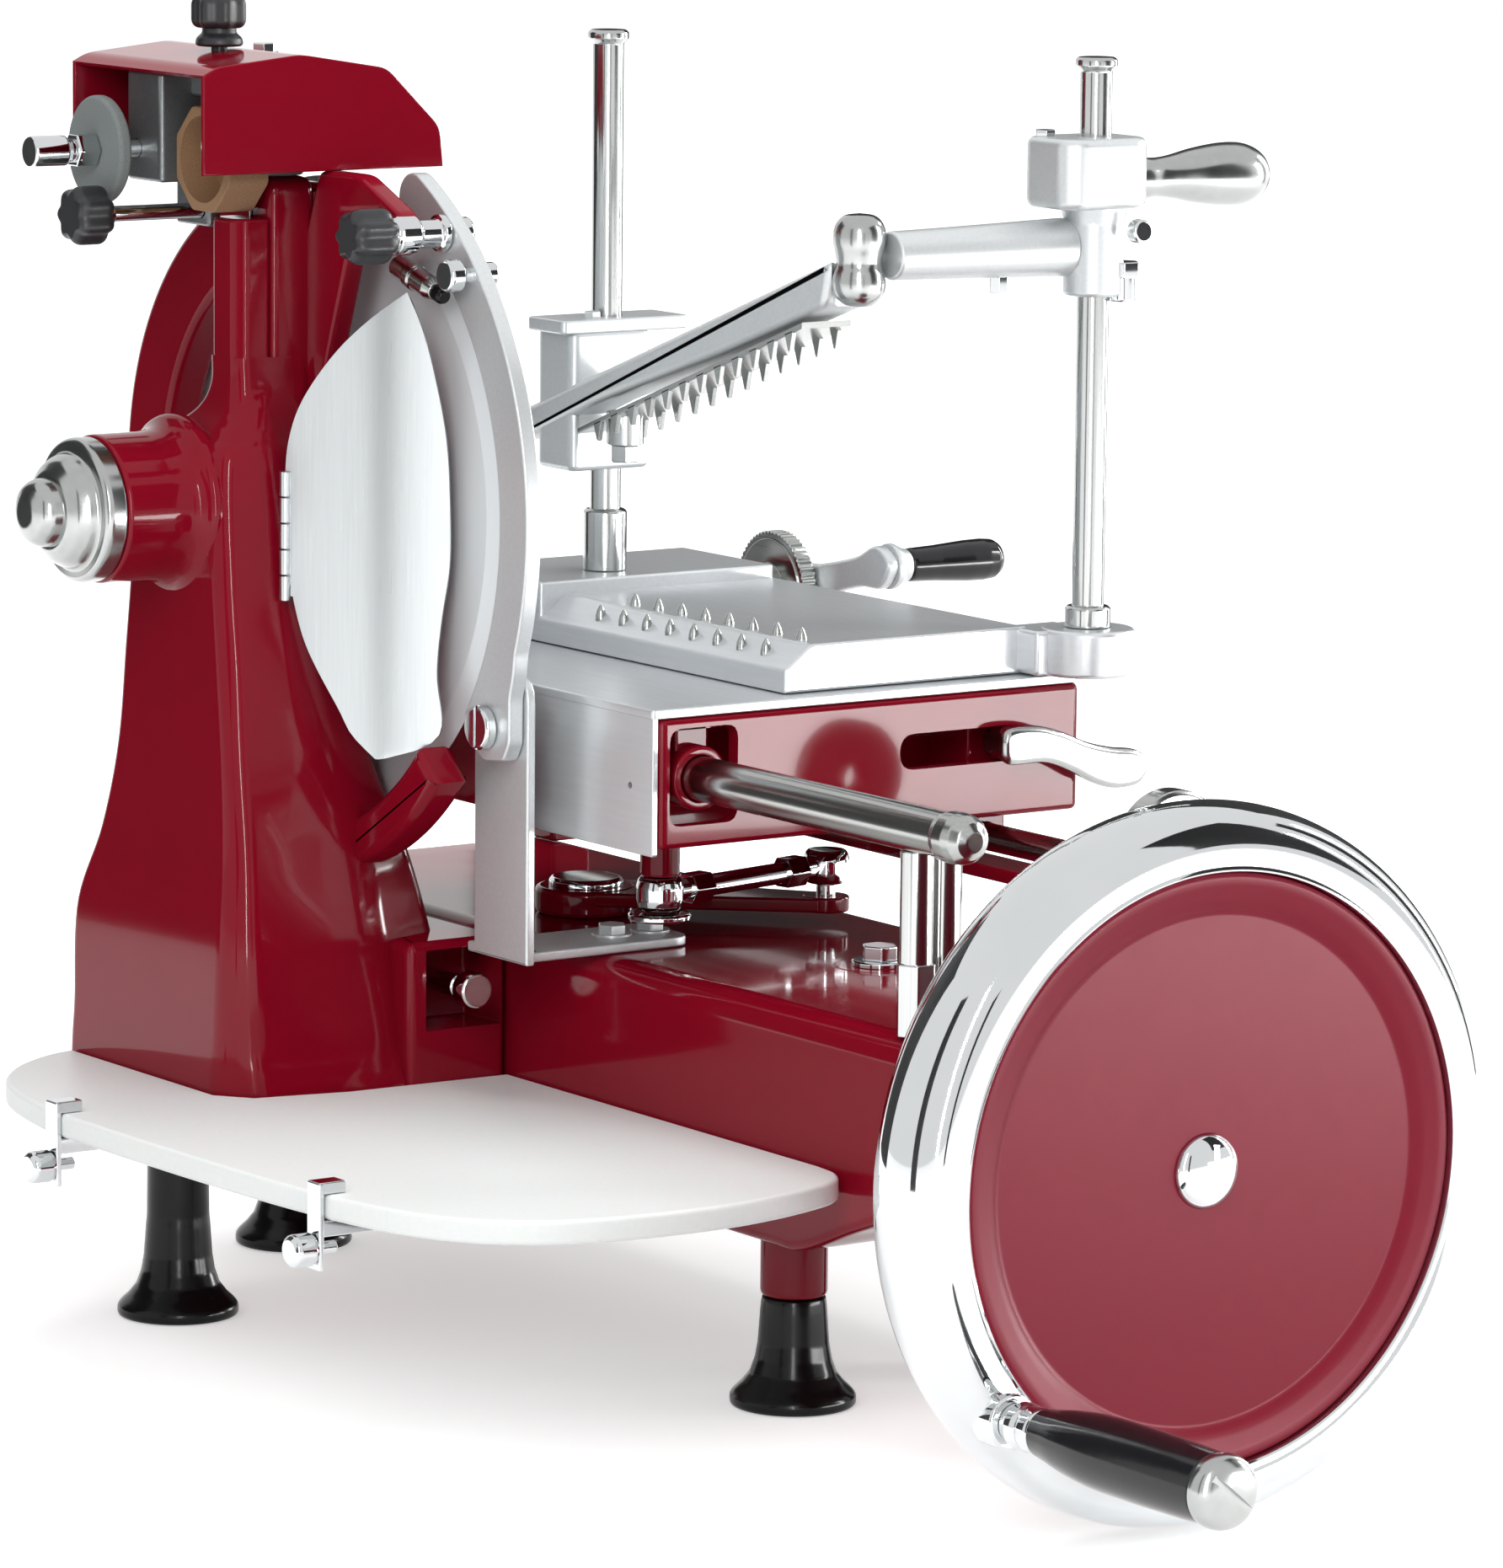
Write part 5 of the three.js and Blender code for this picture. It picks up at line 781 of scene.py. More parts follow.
def build_tray(sizes):
    """The board is a slab with a Catmull-Rom free edge; a clip is a bar, a plate and a lip with its screw."""
    top = BOARD + sizes.board_thickness / MM
    outline = np.concatenate([smooth_line(TRAY_FREE, 110), TRAY_INNER])
    piece("tray_board_moulded", slab(outline, "z", BOARD, top, 2.5), "base", "white_board", "board",
          "tray_board")
    for side, edge, y, reach in (("left", -197, -62, -106.3), ("right", -190, -296, 47.7)):
        out = edge - GAP
        wide, narrow = (y - 5.5, y + 5.5), (y - 5.2, y + 5.2)
        bar = block((out - 2.6, reach), narrow, (112, BOARD - GAP), 0.6, 0.8)
        plate = block((out - 3, out), wide, (96, 137.7), 0.6, 0.8)
        lip = block((out - 2.7, out + 12), narrow, (top + GAP, 138), 0.6, 0.8)
        piece(f"tray_clip_{side}_bent", joined(bar, plate, lip), "base", "steel", "chrome",
              f"tray_clip_{side}")
        head = out - 3.3
        line = [(0, head - 13), (6, head - 13), (7.6, head - 11.6), (8, head - 10), (8, head - 2), (7, head),
                (3, head), (3, out + 9), (0, out + 9)]
        screw = turned(line, "x", (0, y, 106), 0.6, 40)
        piece(f"tray_screw_{side}_turned", screw, f"clip_screw_{side}", "steel", "chrome", f"tray_screw_{side}")


def build_rails(sizes):
    """Bars and posts are turned, the front bar with a button end; the bridge is three blocks."""
    r = sizes.rail_radius / MM
    line = [(0, 160), (r, 160), (r, -455), (r + 0.2, -456), (r + 1.3, -459), (r + 1.4, -466), (r + 0.6, -471),
            (r - 2, -475.4), (r - 6, -477.8), (0, -478.4)]
    piece("rail_front_ground", turned(line, "y", RAIL_FRONT, 0.8, 72), "base", "steel", "steel", "rail_front")
    floor = DECK + GAP
    for name, y in (("rail_post_front", -425), ("rail_post_rear", 148)):
        shell = joined(even_sided("z", 10, floor, 238, (59, y, 0), 0.8), rod("z", 8, floor, 291.7, (59, y, 0)))
        piece(name + "_turned", shell, "base", "steel", "steel_up", name)
    piece("rail_post_second_turned", rod("z", 8.5, floor, 286, (80, -418, 0)), "base", "steel", "steel_up",
          "rail_post_second")
    bar = block((224.4, 248.6), (-419.6, 157.6), (239, 246), 1, 4)
    rear_leg = block((224, 249), (138, 158), (floor, 271), 1.5, 3)
    front_leg = block((224, 249), (-420, -400), (floor, 245.4), 1.5, 3)
    piece("rail_bridge_flat", joined(bar, rear_leg, front_leg), "base", "red_paint", "red", "rail_bridge")
    disc = turned([(7, -397), (22, -397), (24, -398), (28, -398), (30, -396.6), (30, -385.5), (28.6, -384),
                   (7, -384), (7, -397)], "y", (RAIL_REAR[0], 0, 272), 0.8, 72)
    disc = carved(disc, block((200, 270), (-410, -370), (230, 246.3), 0, 0))
    piece("rail_rear_ground", joined(rod("y", 7, -405, 160, RAIL_REAR), disc), "base", "steel", "steel",
          "rail_rear")


def carriage_shells():
    """An open box less its room, windows and bores, with a wall, bosses on the bars, webs and a joint post."""
    (left, right), (front, rear), (low, high) = CARRIAGE
    wall, before, beyond = 8, 14, 20
    window = (front - 6, front + wall + 4)
    room = block((left + wall, right - wall), (front + wall, rear - wall), (low - beyond, high - wall), 1, 2)
    notch = block((33, 73), window, (281, 329), 1, 7, "y")
    slot = block((170, 244), window, (298, 316), 0.5, 12, "y")
    bore_radius, boss_radius, length = 11.5, 16, 34
    bore = rod("y", bore_radius, front - before, rear + beyond, RAIL_FRONT)
    rear_bore = rod("y", 7.5, front - before, rear + beyond, RAIL_REAR)
    shell = carved(block(*CARRIAGE, 3, 5), room, notch, slot, bore)
    inner_wall = carved(block((34, 274), (-208, -203), (271, 328), 0.5, 1), bore)
    bosses = [turned([(bore_radius, y), (boss_radius - 1.2, y), (boss_radius, y + 1.4),
                      (boss_radius, y + length - 2), (boss_radius - 1.2, y + length), (bore_radius, y + length),
                      (bore_radius, y)], "y", RAIL_FRONT, 0.8, 72) for y in (-252, 25.5)]
    webs = [carved(block((44, 64), (y, y + 32), (303, 330), 1, 2), bore) for y in (-244, 26)]
    shoes = [carved(block((223, 247), (y, y + 34), (258, 330), 1, 2), rear_bore) for y in (-240, 25.4)]
    post = turned([(0, 241), (9, 241), (10, 242), (10, 262), (13, 270), (13, 330), (0, 330)], "z",
                  (*CARRIAGE_JOINT, 0), 1)
    stand = carved(block((262, 274), (5, 35), (326, 366), 1.5, 5, "x"), rod("x", 6.4, 250, 290, FEED))
    return joined(shell, *bosses, *webs, *shoes, post, stand, inner_wall)


def build_carriage():
    """The casting, the receiving plate of a top and a flange with a small hole, and the curved lock lever."""
    piece("carriage", carriage_shells(), "carriage", "red_paint", "red", "carriage_casting")
    (left, right), (front, rear), (_, high) = CARRIAGE
    outside = left - 4
    top = block((outside, right - 2), (front, rear), (high + GAP, 339), 0.8, 2)
    top = carved(top, block((261, 300), (4, 36), (320, 350), 0, 0))
    flange = block((outside + GAP, left - 0.6), (front + GAP, -150), (267, 338.4), 0.6, [1.5, 4, 1, 1], "x")
    flange = carved(flange, rod("x", 1.8, 10, 40, (0, -236, 300), 0, 24))
    piece("receiving_plate_bent", joined(top, flange), "carriage", "aluminium", "milled", "receiving_plate")
    paddle = smooth_line([(-10, 0), (-7, 8.6), (10, 9.4), (26, 5.4), (42, -1), (58, -5), (72, -7), (80, -12),
                          (80, -19), (74, -25), (60, -26), (46, -22), (32, -15), (16, -9.6), (-6, -8.8)],
                         72, closed=True)
    lever = slab(paddle + (LOCK_LEVER[0], LOCK_LEVER[2]), "y", front - 14, front - 6, 3.4)
    stem = rod("y", 8.7, front - 8, front + 7.8, LOCK_LEVER, 0.6, 40)
    piece("table_lock_lever_cast", joined(lever, stem), "lock_lever", "aluminium", "satin_chrome",
          "table_lock_lever")


def build_linkage():
    """The arm is a tapered slab between two round ends; the rod is a bar, two nuts and two turned housings."""
    tip = ROCKER_TIP
    side = np.array([-tip[1], tip[0]]) / np.linalg.norm(tip)
    outline = np.array([side * 25, -side * 25, tip - side * 12, tip + side * 12])
    floor = DECK + GAP
    hub = [(0, floor), (24.6, floor), (26, 205), (26, 215.4), (24.4, 217), (0, 217)]
    arm = joined(slab(outline, "z", 209.3, 216.6, 1.5, 2), rod("z", 12, 209, 217, (*tip, 0), 1.5),
                 turned(hub, "z", soft=1.2, sides=96))
    piece("rocker_arm_cast", moved(arm, (*ROCKER, 0)), "rocker", "red_paint", "red", "rocker_arm")
    nut = joined(turned([(0, 216.6), (19, 216.6), (19, 219.6), (17.5, 221.5), (0, 221.5)], "z", (*ROCKER, 0),
                        0.8, 72), rod("z", 5, 216.6, 222.6, (*(ROCKER + tip), 0), 0.6, 32))
    piece("rocker_nut_plated", nut, "rocker", "chrome", "chrome")

    ends = ROCKER + tip - CARRIAGE_JOINT
    length, height = float(np.linalg.norm(ends)), 232
    ball = [(0, 223.4), (9.6, 223.4), (11, 225), (12, 228.6), (12, 235.4), (11, 239), (9.6, 240.6), (0, 240.6)]
    housings = [turned(ball, "z", (x, 0, 0), 1, 56) for x in (0, length)]
    washer = turned([(0, 218.5), (15, 218.5), (16, 219.4), (16, 221.4), (15, 222.4), (0, 223)], "z", soft=0.4,
                    sides=48)
    nuts = [even_sided("x", 8.5, x, x + 14, (0, 0, height), 0.8) for x in (19, length - 33)]
    bar = rod("x", 5.5, 0, length, (0, 0, height), 0.5, 40)
    link = moved(joined(*housings, washer, *nuts, bar), (*CARRIAGE_JOINT, 0), math.atan2(ends[1], ends[0]))
    piece("connecting_rod_plated", link, "link", "chrome", "chrome", "connecting_rod")


# Table, feed and press


def build_table():
    """The table is a slab across Y with a raised block, a neck and a round ear; spikes are turned cones."""
    low, high = TABLE_Z
    left, right, front, rear, inset = 108, 255, -245, 60, 0.4
    outline = [(left, low), (right, low), (right, high), (124, high), (left, 351)]
    bore = rod("x", 6.6, left - 8, right + 15, FEED)
    body = carved(slab(outline, "y", front, rear, 1.2, [1, 1, 1.5, 2, 1.5]), bore)
    raised = block((left + inset, right - inset), (-25, rear - inset), (341, 370), 1.6, 3)
    raised = carved(raised, bore)
    neck = block((249, 282), (-261.6, -232), (340, 362.5), 2.5, 3)
    ear = turned([(0, low), (22.6, low), (24, 341), (24, 361.4), (22.4, high), (0, high)], "z", ROD_RIGHT, 1.2,
                 72)
    piece("meat_table_milled", joined(body, raised, neck, ear), "table", "aluminium", "milled", "meat_table")
    first, pitch, rows = -70, 21, ((116, 357), (130, 363))
    cone = [(0, -3), (2.9, -3), (2.8, 0.4), (2.1, 3.2), (0.9, 5.6), (0, 6.6)]
    spikes = [turned(cone, "z", (x, first - pitch * (k + row / 2), z), 0.6, 14, 3)
              for row, (x, z) in enumerate(rows) for k in range(8)]
    piece("table_spikes", joined(*spikes), "table", "steel", "steel")
    for name, place, floor, collar, collar_top, top in (("rod_left", ROD_LEFT, 370, 11.3, 402, 643),
                                                        ("rod_right", ROD_RIGHT, 363, 11.5, 374, 641)):
        line = [(0, 352), (8, 352), (8, floor + GAP), (collar, floor + GAP), (collar, collar_top - 1.4),
                (collar - 1.4, collar_top), (8, collar_top), (8, top - 1), (8.8, top), (10.5, top + 1.6),
                (10.5, top + 4.6), (9, top + 6), (0, top + 6)]
        piece(name + "_ground", turned(line, "z", place, 0.6, 72), "table", "steel", "steel_up", name)


def build_feed():
    """Screw, boss, ferrule and grip are turned; the dial's radius drops where cos(60 angle) is positive; the
    crank's web is a waisted Catmull-Rom outline."""
    screw = turned([(0, 112), (6, 112), (6, 274.3), (14, 274.3), (14, 282), (27, 282), (27, 284), (6, 284),
                    (6, 301), (0, 301)], "x", FEED, 0.5)
    radius, notch, count = 31, 0.9, 60
    angle = np.linspace(0, 2 * math.pi, 4 * count, endpoint=False)
    edge = (radius - notch * (np.cos(count * angle) > 0))[:, None] * np.stack([np.cos(angle), np.sin(angle)], 1)
    dial = slab(edge + FEED[1:], "x", 283, 292, 0.6)
    piece("feed_screw_turned", joined(screw, dial), "feed", "steel", "steel", "feed_screw")

    hub, end = np.array(FEED[1:]), np.array(CRANK_END[1:])
    way = (end - hub) / np.linalg.norm(end - hub)
    across = np.array([-way[1], way[0]])
    stations, widths = [hub, hub + way * 28, end - way * 20, end], (13, 9, 8, 11)
    left = [place + across * width for place, width in zip(stations, widths)]
    right = [place - across * width for place, width in zip(stations, widths)]
    waist = smooth_line([*left, end + way * 11, *right[::-1], hub - way * 14], 64, closed=True)
    web = carved(slab(waist, "x", 293, 301, 2.2), rod("x", 6.3, 280, 310, FEED))
    boss = turned([(6.3, 292.6), (13, 292.6), (14, 294), (14, 302), (12, 304), (6.3, 304), (6.3, 292.6)], "x",
                  FEED, 0.8)
    ferrule = turned([(0, 300), (12, 300), (12, 303), (9.4, 308), (8.5, 311.7), (5, 311.7), (5, 368), (0, 368)],
                     "x", CRANK_END, 0.8, 48)
    piece("feed_crank_cast", joined(web, boss, ferrule), "feed", "aluminium", "cast", "feed_crank")
    grip = turned([(5.3, 312), (8.2, 312), (8.8, 314), (9.4, 330), (10.8, 350), (11, 360), (10.4, 366.6),
                   (8.4, 370), (0, 370)], "x", CRANK_END, 0.9, 56)
    piece("feed_grip_polished", grip, "feed_handle", "black_plastic", "gloss_black", "feed_grip")


def build_press_head():
    """The head is blocks, a sleeve and a taper on the right rod; the paddle is ellipses carried along X."""
    outline = [(248, -276), (256, -284), (294, -284), (302, -276), (302, -248), (294, -240), (256, -240),
               (248, -248)]
    bore = rod("z", 8.3, 500, 640, ROD_RIGHT)
    head = slab(outline, "z", 573, 608, 4, 4)
    sleeve = turned([(0, 529), (13.6, 529), (15, 530.4), (15, 565), (17, 574), (0, 574)], "z", ROD_RIGHT, 1.4)
    joint = joined(block((251.5, 282), (-276, -244), (541, 577), 6, 8),
                   block((276, 301), (-284, -254), (546, 577), 4, 6))
    taper = turned([(0, 159.6), (11.2, 159.6), (12, 161), (12.6, 190), (14.5, 262), (14.5, 266), (0, 266)], "x",
                   (0, -256, 553), 1.2, 72)
    body = joined(carved(head, bore), carved(sleeve, bore), carved(joint, bore), taper)
    piece("press_head_cast", body, "press", "aluminium", "cast", "press_head")

    stations = smooth_line([(302.4, 10, 10), (309, 10.6, 10.4), (317, 10.4, 10), (327, 12.4, 11), (342, 16, 14),
                            (358, 17.8, 16), (371, 17.4, 15.6), (380, 13, 11.6), (383.4, 6, 5.4),
                            (384, 0.6, 0.5)], 60)
    angle = np.linspace(0, 2 * math.pi, 48, endpoint=False)
    x, wide, high = stations[:, :1], stations[:, 1:2], stations[:, 2:]
    middle = (0, -262, 586)
    paddle = ring_shell(placed(np.stack([wide * np.cos(angle), high * np.sin(angle)], -1), x, "x"))
    stem = rod("x", 6, 289.5, 304, middle, 0.8, 40)
    piece("press_clamp_paddle", joined(moved(paddle, middle), stem), "press_clamp", "aluminium", "satin_chrome",
          "press_clamp_handle")
    lower_stud = (292, -270, 0)
    studs = joined(turned([(0, 526), (6.4, 526), (7.2, 527), (7.2, 543), (0, 543)], "z", lower_stud, 0.6, 40),
                   even_sided("z", 9, 538, 546, lower_stud, 0.8),
                   turned([(0, -290), (5, -290), (6, -289), (6, -283), (0, -283)], "y", (290, 0, 562), 0.6, 32),
                   even_sided("z", 5.5, 607.6, 611, (258, -250, 0), 0.5),
                   even_sided("z", 5, 532, 540.4, (226, -256, 0), 0.6))
    piece("press_head_screws", studs, "press", "chrome", "chrome")
    knuckle = smooth_line([(0.5, 528), (7, 529), (11.6, 533.4), (13, 539), (12.4, 545), (11.2, 549),
                           (11.6, 553), (13, 560), (12.2, 567.6), (8, 572.6), (0.5, 574)], 48)
    elbow = turned(np.concatenate([[(0, 528)], knuckle, [(0, 574)]]), "z", ELBOW, 0, 72)
    piece("elbow_plated", elbow, "press", "chrome", "satin_chrome", "elbow")


def build_press_beam():
    """The beam is a slab with a sloping back over two blocks on the left rod; teeth stand along its slope."""
    slope = (BEAM_LOW[1] - BEAM_HIGH[1]) / (BEAM_LOW[0] - BEAM_HIGH[0])
    spine = slab([BEAM_HIGH, (-238, 527), (-150, 497), (-40, 463), (34, 435), BEAM_LOW], "x", 133, 160, 4, 5)
    spine = carved(spine, rod("z", 13.3, 500, 600, ELBOW))
    bore = rod("z", 8.3, 400, 520, ROD_LEFT)
    plate = carved(block((128, 206), (-15, 19), (495, 502), 1.2, 3), bore)
    lower = carved(block((134, 183), (-14.7, 18.7), (424, 496), 3, 5), bore)
    bolt = even_sided("z", 4.5, 501.6, 505.5, (152, -6, 0), 0.5)
    piece("press_beam_cast", joined(spine, plate, lower, bolt), "press", "aluminium", "cast", "press_beam")
    place = (146, -46, 0)
    screw = joined(even_sided("z", 8, 432, 441, place, 0.8), rod("z", 9.5, 441, 458, place, 0.5, 40))
    piece("press_beam_screw", screw, "press", "chrome", "satin_chrome")

    start, end, thick, below = -221.7, -22.7, 3, 24.3

    def level(y):
        """The plate's height, a fixed way below the straight line of the beam's back."""
        return BEAM_HIGH[1] + slope * (y - BEAM_HIGH[0]) - below

    sheet = slab([(start, level(start)), (end, level(end)), (end, level(end) - thick),
                  (start, level(start) - thick)], "x", 132, 162, 0.5)
    places = np.arange(-214, end - 9, 15.4)
    teeth = [[(y, z), (y + 7, z + slope * 7), (y + 4, z - 10.6), (y + 2.4, z - 11)]
             for y, z in zip(places, level(places) - 1.6)]
    cuts = [slab(tooth, "x", x, x + 2.6, 0.3) for tooth in teeth for x in (132, 159.4)]
    piece("tooth_plate_cut", joined(sheet, *cuts), "press", "steel", "steel", "tooth_plate")


# Sharpener


def build_hood(sizes):
    """Two slabs are the hood's end walls; its roof is the same softened outline less itself drawn in."""
    t = sizes.hood_sheet / MM
    front, rear = -50, 78.6
    roof_line = soft_corners(HOOD_ROOF, 5, closed=False)
    outline = np.concatenate([roof_line, [HOOD_LEFT]])
    walls = [slab(outline, "y", y, y + t, 0.8) for y in (front, rear - t)]
    inside = grown(outline, -t)[:len(roof_line)]
    roof = slab(np.concatenate([roof_line, inside[::-1]]), "y", front + 2, rear - 1.8, 0.4)
    piece("hood_sheet", joined(*walls, roof), "base", "red_paint", "red", "hood")
    place = (-4, 62, 0)
    bolt = joined(even_sided("z", 6, 638.5, 643.5, place, 0.7), rod("z", 7.5, 637, 639, place, 0.4, 32))
    piece("hood_bolt", bolt, "base", "chrome", "chrome")
    collar = [(0, 646), (11, 646), (12, 647.2), (11.4, 650), (8.6, 652.6), (8.4, 657), (0, 657)]
    knob = joined(lobed("z", 14, 1.8, 655, 671, TOP_KNOB), turned(collar, "z", TOP_KNOB, 0.8, 56),
                  rod("z", 4, 633.4, 650, TOP_KNOB, 0.4, 24))
    piece("hood_knob_grip", knob, "top_knob", "knob_plastic", "matt_black", "hood_knob")


def build_sharpener():
    """The holder is four blocks with bores; the wheel, its spindle and the pusher are turned; the cup has
    eight sides and a round hollow."""
    cup_bore = rod("x", 4.3, -70, -50, CUP)
    spindle_bore = rod("x", 4.8, -100, -20, SPINDLE)
    back = carved(block((-88, -34.4), (22, 55.6), (578, 632.6), 2, 3), spindle_bore)
    front = carved(block((-58, -34), (-28, 56), (583.6, 633), 2, 3), cup_bore, spindle_bore)
    bridge = block((-70, -34.8), (0, 55.2), (621, 632.2), 2, 3)
    lug = carved(block((-60, -52), (22.4, 55.2), (555, 584), 1.5, 3), rod("x", 4.3, -70, -40, PUSHER))
    piece("stone_holder_block", joined(back, front, bridge, lug), "base", "dark_steel", "dark", "stone_holder")
    wheel = [(4.8, -113), (25.6, -113), (27, -111.6), (27, -107.4), (25.6, -106), (4.8, -106), (4.8, -113)]
    piece("grinding_wheel_pressed", turned(wheel, "x", SPINDLE, 0.8, 96), "stone_wheel", "grey_stone", "stone",
          "grinding_wheel")
    shank = [(0, -150), (7.2, -150), (8, -149), (8, -131), (6, -128), (6, -125.3), (4.5, -125.3), (4.5, -70),
             (0, -70)]
    nuts = [even_sided("x", 9, x, x + length, SPINDLE, 1) for x, length in ((-125.3, 12), (-105.7, 6))]
    spindle = joined(turned(shank, "x", SPINDLE, 0.6, 48), *nuts)
    piece("grinding_spindle_turned", spindle, "stone_wheel", "chrome", "chrome", "grinding_spindle")
    ring = even_sided("x", 28, -84, -61, CUP, 1.2, math.pi / 8, 8)
    ring = carved(ring, rod("x", 21.5, -90, -64, CUP, 0.5, 72))
    cup = joined(ring, rod("x", 4, -61.5, -55, CUP, 0.4, 24))
    piece("deburring_cup_bonded", cup, "base", "tan_stone", "cup", "deburring_cup")
    grip = lobed("x", 15, 2.2, -136, -116, PUSHER)
    piece("stone_knob_grip", grip, "stone_pusher", "knob_plastic", "matt_black")
    stem = joined(turned([(0, -118), (4, -118), (4, -60.3), (0, -60.3)], "x", PUSHER, 0.5, 24),
                  turned([(0, -117), (7, -117), (6, -112), (0, -112)], "x", PUSHER, 0.6, 32))
    piece("stone_knob_stem", stem, "stone_pusher", "chrome", "chrome", "stone_knob")


# Pieces of the frame that keep their own shape


def dress_frame():
    """Gives the hidden shafts and the chain their finishes."""
    for name, key in (("main_shaft", "steel"), ("cross_shaft", "steel"), ("drive_chain", "dark"),
                      ("blade_shaft", "steel")):
        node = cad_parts[name]
        node.data.materials.clear()
        node.data.materials.append(FINISHES[key])


# Floor, lamps, cards and camera, in metres of the frame


MIDDLE = (0.0, 0.0, 0.3)
WHITE, BLACK = "#ffffff", "#0c0c0d"
# Name, width and height, power in watts, place
LAMPS = [
    ("key softbox", (1.4, 1.8), 42, (-2.0, -1.6, 1.9)),
    ("top softbox", (2.0, 2.0), 40, (0.3, 0.1, 2.6)),
    ("right softbox", (0.6, 1.8), 18, (2.3, -1.3, 1.4)),
    ("low front", (1.6, 0.7), 8, (0.9, -2.8, 0.7)),
]
# Name, place, width and height, colour, glow
CARDS = [
    ("left strip", (-1.25, -1.8, 0.7), (0.1, 1.9), WHITE, 40),
    ("right strip", (2.1, -0.9, 0.7), (0.12, 1.9), WHITE, 50),
    ("low strip", (0.85, -1.0, 0.13), (1.0, 0.16), WHITE, 24),
    ("side strip", (2.2, 0.25, 0.9), (0.16, 1.4), WHITE, 45),
    ("flag left", (-1.5, -0.5, 0.5), (0.26, 2.0), BLACK, 0),
    ("flag front", (-0.6, -2.3, 0.4), (0.2, 1.6), BLACK, 0),
    ("flag right", (1.8, -0.25, 0.6), (0.3, 2.0), BLACK, 0),
    ("flag back left", (-0.81, 1.2, 0.75), (1.0, 1.5), BLACK, 0),
    ("flag front right", (0.57, -0.73, 0.8), (0.5, 0.8), BLACK, 0),
    ("flag back right", (1.8, 1.6, 0.8), (1.7, 2.4), BLACK, 0),
]
# The camera's place in millimetres, its lens, and its heading, pitch and roll in degrees
CAMERA_PLACE = np.array([-2106.3, -3412.7, 893.2])
LENS_MM, SENSOR_MM = 183.2, 36
CAMERA_TURNS = (34.72, 8.8, 0.58)


def faced(made, place, front):
    """Sets an object down at a place with its front towards the middle of the set."""
    made.location = place
    made.rotation_euler = (Vector(MIDDLE) - Vector(place)).to_track_quat(front, "Y").to_euler()
    bpy.context.scene.collection.objects.link(made)


def lamp(name, size, power, place):
    """A soft lamp that only lights; the cards make the reflections."""
    light = bpy.data.lights.new(name, "AREA")
    light.shape = "RECTANGLE"
    light.size, light.size_y = size
    light.energy = power
    made = bpy.data.objects.new(name, light)
    made.visible_glossy = False
    faced(made, place, "-Z")


def flat_mesh(name, width, height):
    """One rectangle in the X Y plane."""
    w, h = width / 2, height / 2
    mesh = bpy.data.meshes.new(name)
    mesh.from_pydata([(-w, -h, 0), (w, -h, 0), (w, h, 0), (-w, h, 0)], [], [(0, 1, 2, 3)])
    return mesh


def card(name, place, size, colour, glow):
    """A card beside the set that only shows in polished surfaces, as a photographer's flag or strip does."""
    mesh = flat_mesh(name, *size)
    made = bpy.data.objects.new(name, mesh)
    faced(made, place, "Z")
    material, _, _ = shader_of(name + " paper", Base_Color=linear(colour), Emission_Color=linear(WHITE),
                               Emission_Strength=glow)
    mesh.materials.append(material)
    made.visible_camera = made.visible_diffuse = made.visible_shadow = made.visible_transmission = False


def seen_white(tree):
    """1 for what the camera, a polished surface or glass sees, 0 for all other light."""
    path = add_node(tree, "ShaderNodeLightPath").outputs
    either = add_node(tree, "ShaderNodeMath", (), {0: path["Is Camera Ray"], 1: path["Is Glossy Ray"]},
                      operation="MAXIMUM")
    seen = add_node(tree, "ShaderNodeMath", (), {0: either.outputs[0], 1: path["Is Transmission Ray"]},
                    operation="MAXIMUM")
    return seen.outputs[0]


def build_world(scene):
    """A white room that lights the object less than it shows, so that pale surfaces don't clip."""
    world = bpy.data.worlds.new("white studio")
    world.use_nodes = True
    scene.world = world
    tree = world.node_tree
    back = tree.nodes["Background"]
    back.inputs["Color"].default_value = (1, 1, 1, 1)
    strength = add_node(tree, "ShaderNodeMapRange", {"To Min": 0.42, "To Max": 1.0},
                        {"Value": seen_white(tree)})
    tree.links.new(strength.outputs["Result"], back.inputs["Strength"])


def build_floor(scene):
    """White paper that glows with painted light, less near the middle and fully from 1.5 m out, so that it is
    plain white to the eye beyond the shadow, as in a picture cut out on white.
    """
    width, sink = 18, 0.0005
    mesh = flat_mesh("floor", width, width)
    floor = bpy.data.objects.new("floor", mesh)
    floor.location = (0.1, 0, -sink)
    scene.collection.objects.link(floor)
    material, tree, shader = shader_of("white paper floor with painted glow", Base_Color=linear("#f4f4f4"), Roughness=0.9,
                                       Specular_IOR_Level=0.1, Emission_Color=linear(WHITE))
    place = add_node(tree, "ShaderNodeTexCoord").outputs["Object"]
    away = add_node(tree, "ShaderNodeVectorMath", (), {0: place}, operation="LENGTH").outputs["Value"]
    # Painted light: the paper's glow runs from 0.45 near the middle to 1 far off, and only camera, polished and
    # glass rays see it
    fade = {"From Min": 0.45, "From Max": 1.5, "To Min": 0.45, "To Max": 1.0}
    share = add_node(tree, "ShaderNodeMapRange", fade, {"Value": away}, interpolation_type="SMOOTHSTEP")
    share = share.outputs["Result"]
    glow = add_node(tree, "ShaderNodeMath", (), {0: share, 1: seen_white(tree)}, operation="MULTIPLY")
    tree.links.new(glow.outputs[0], shader.inputs["Emission Strength"])
    mesh.materials.append(material)


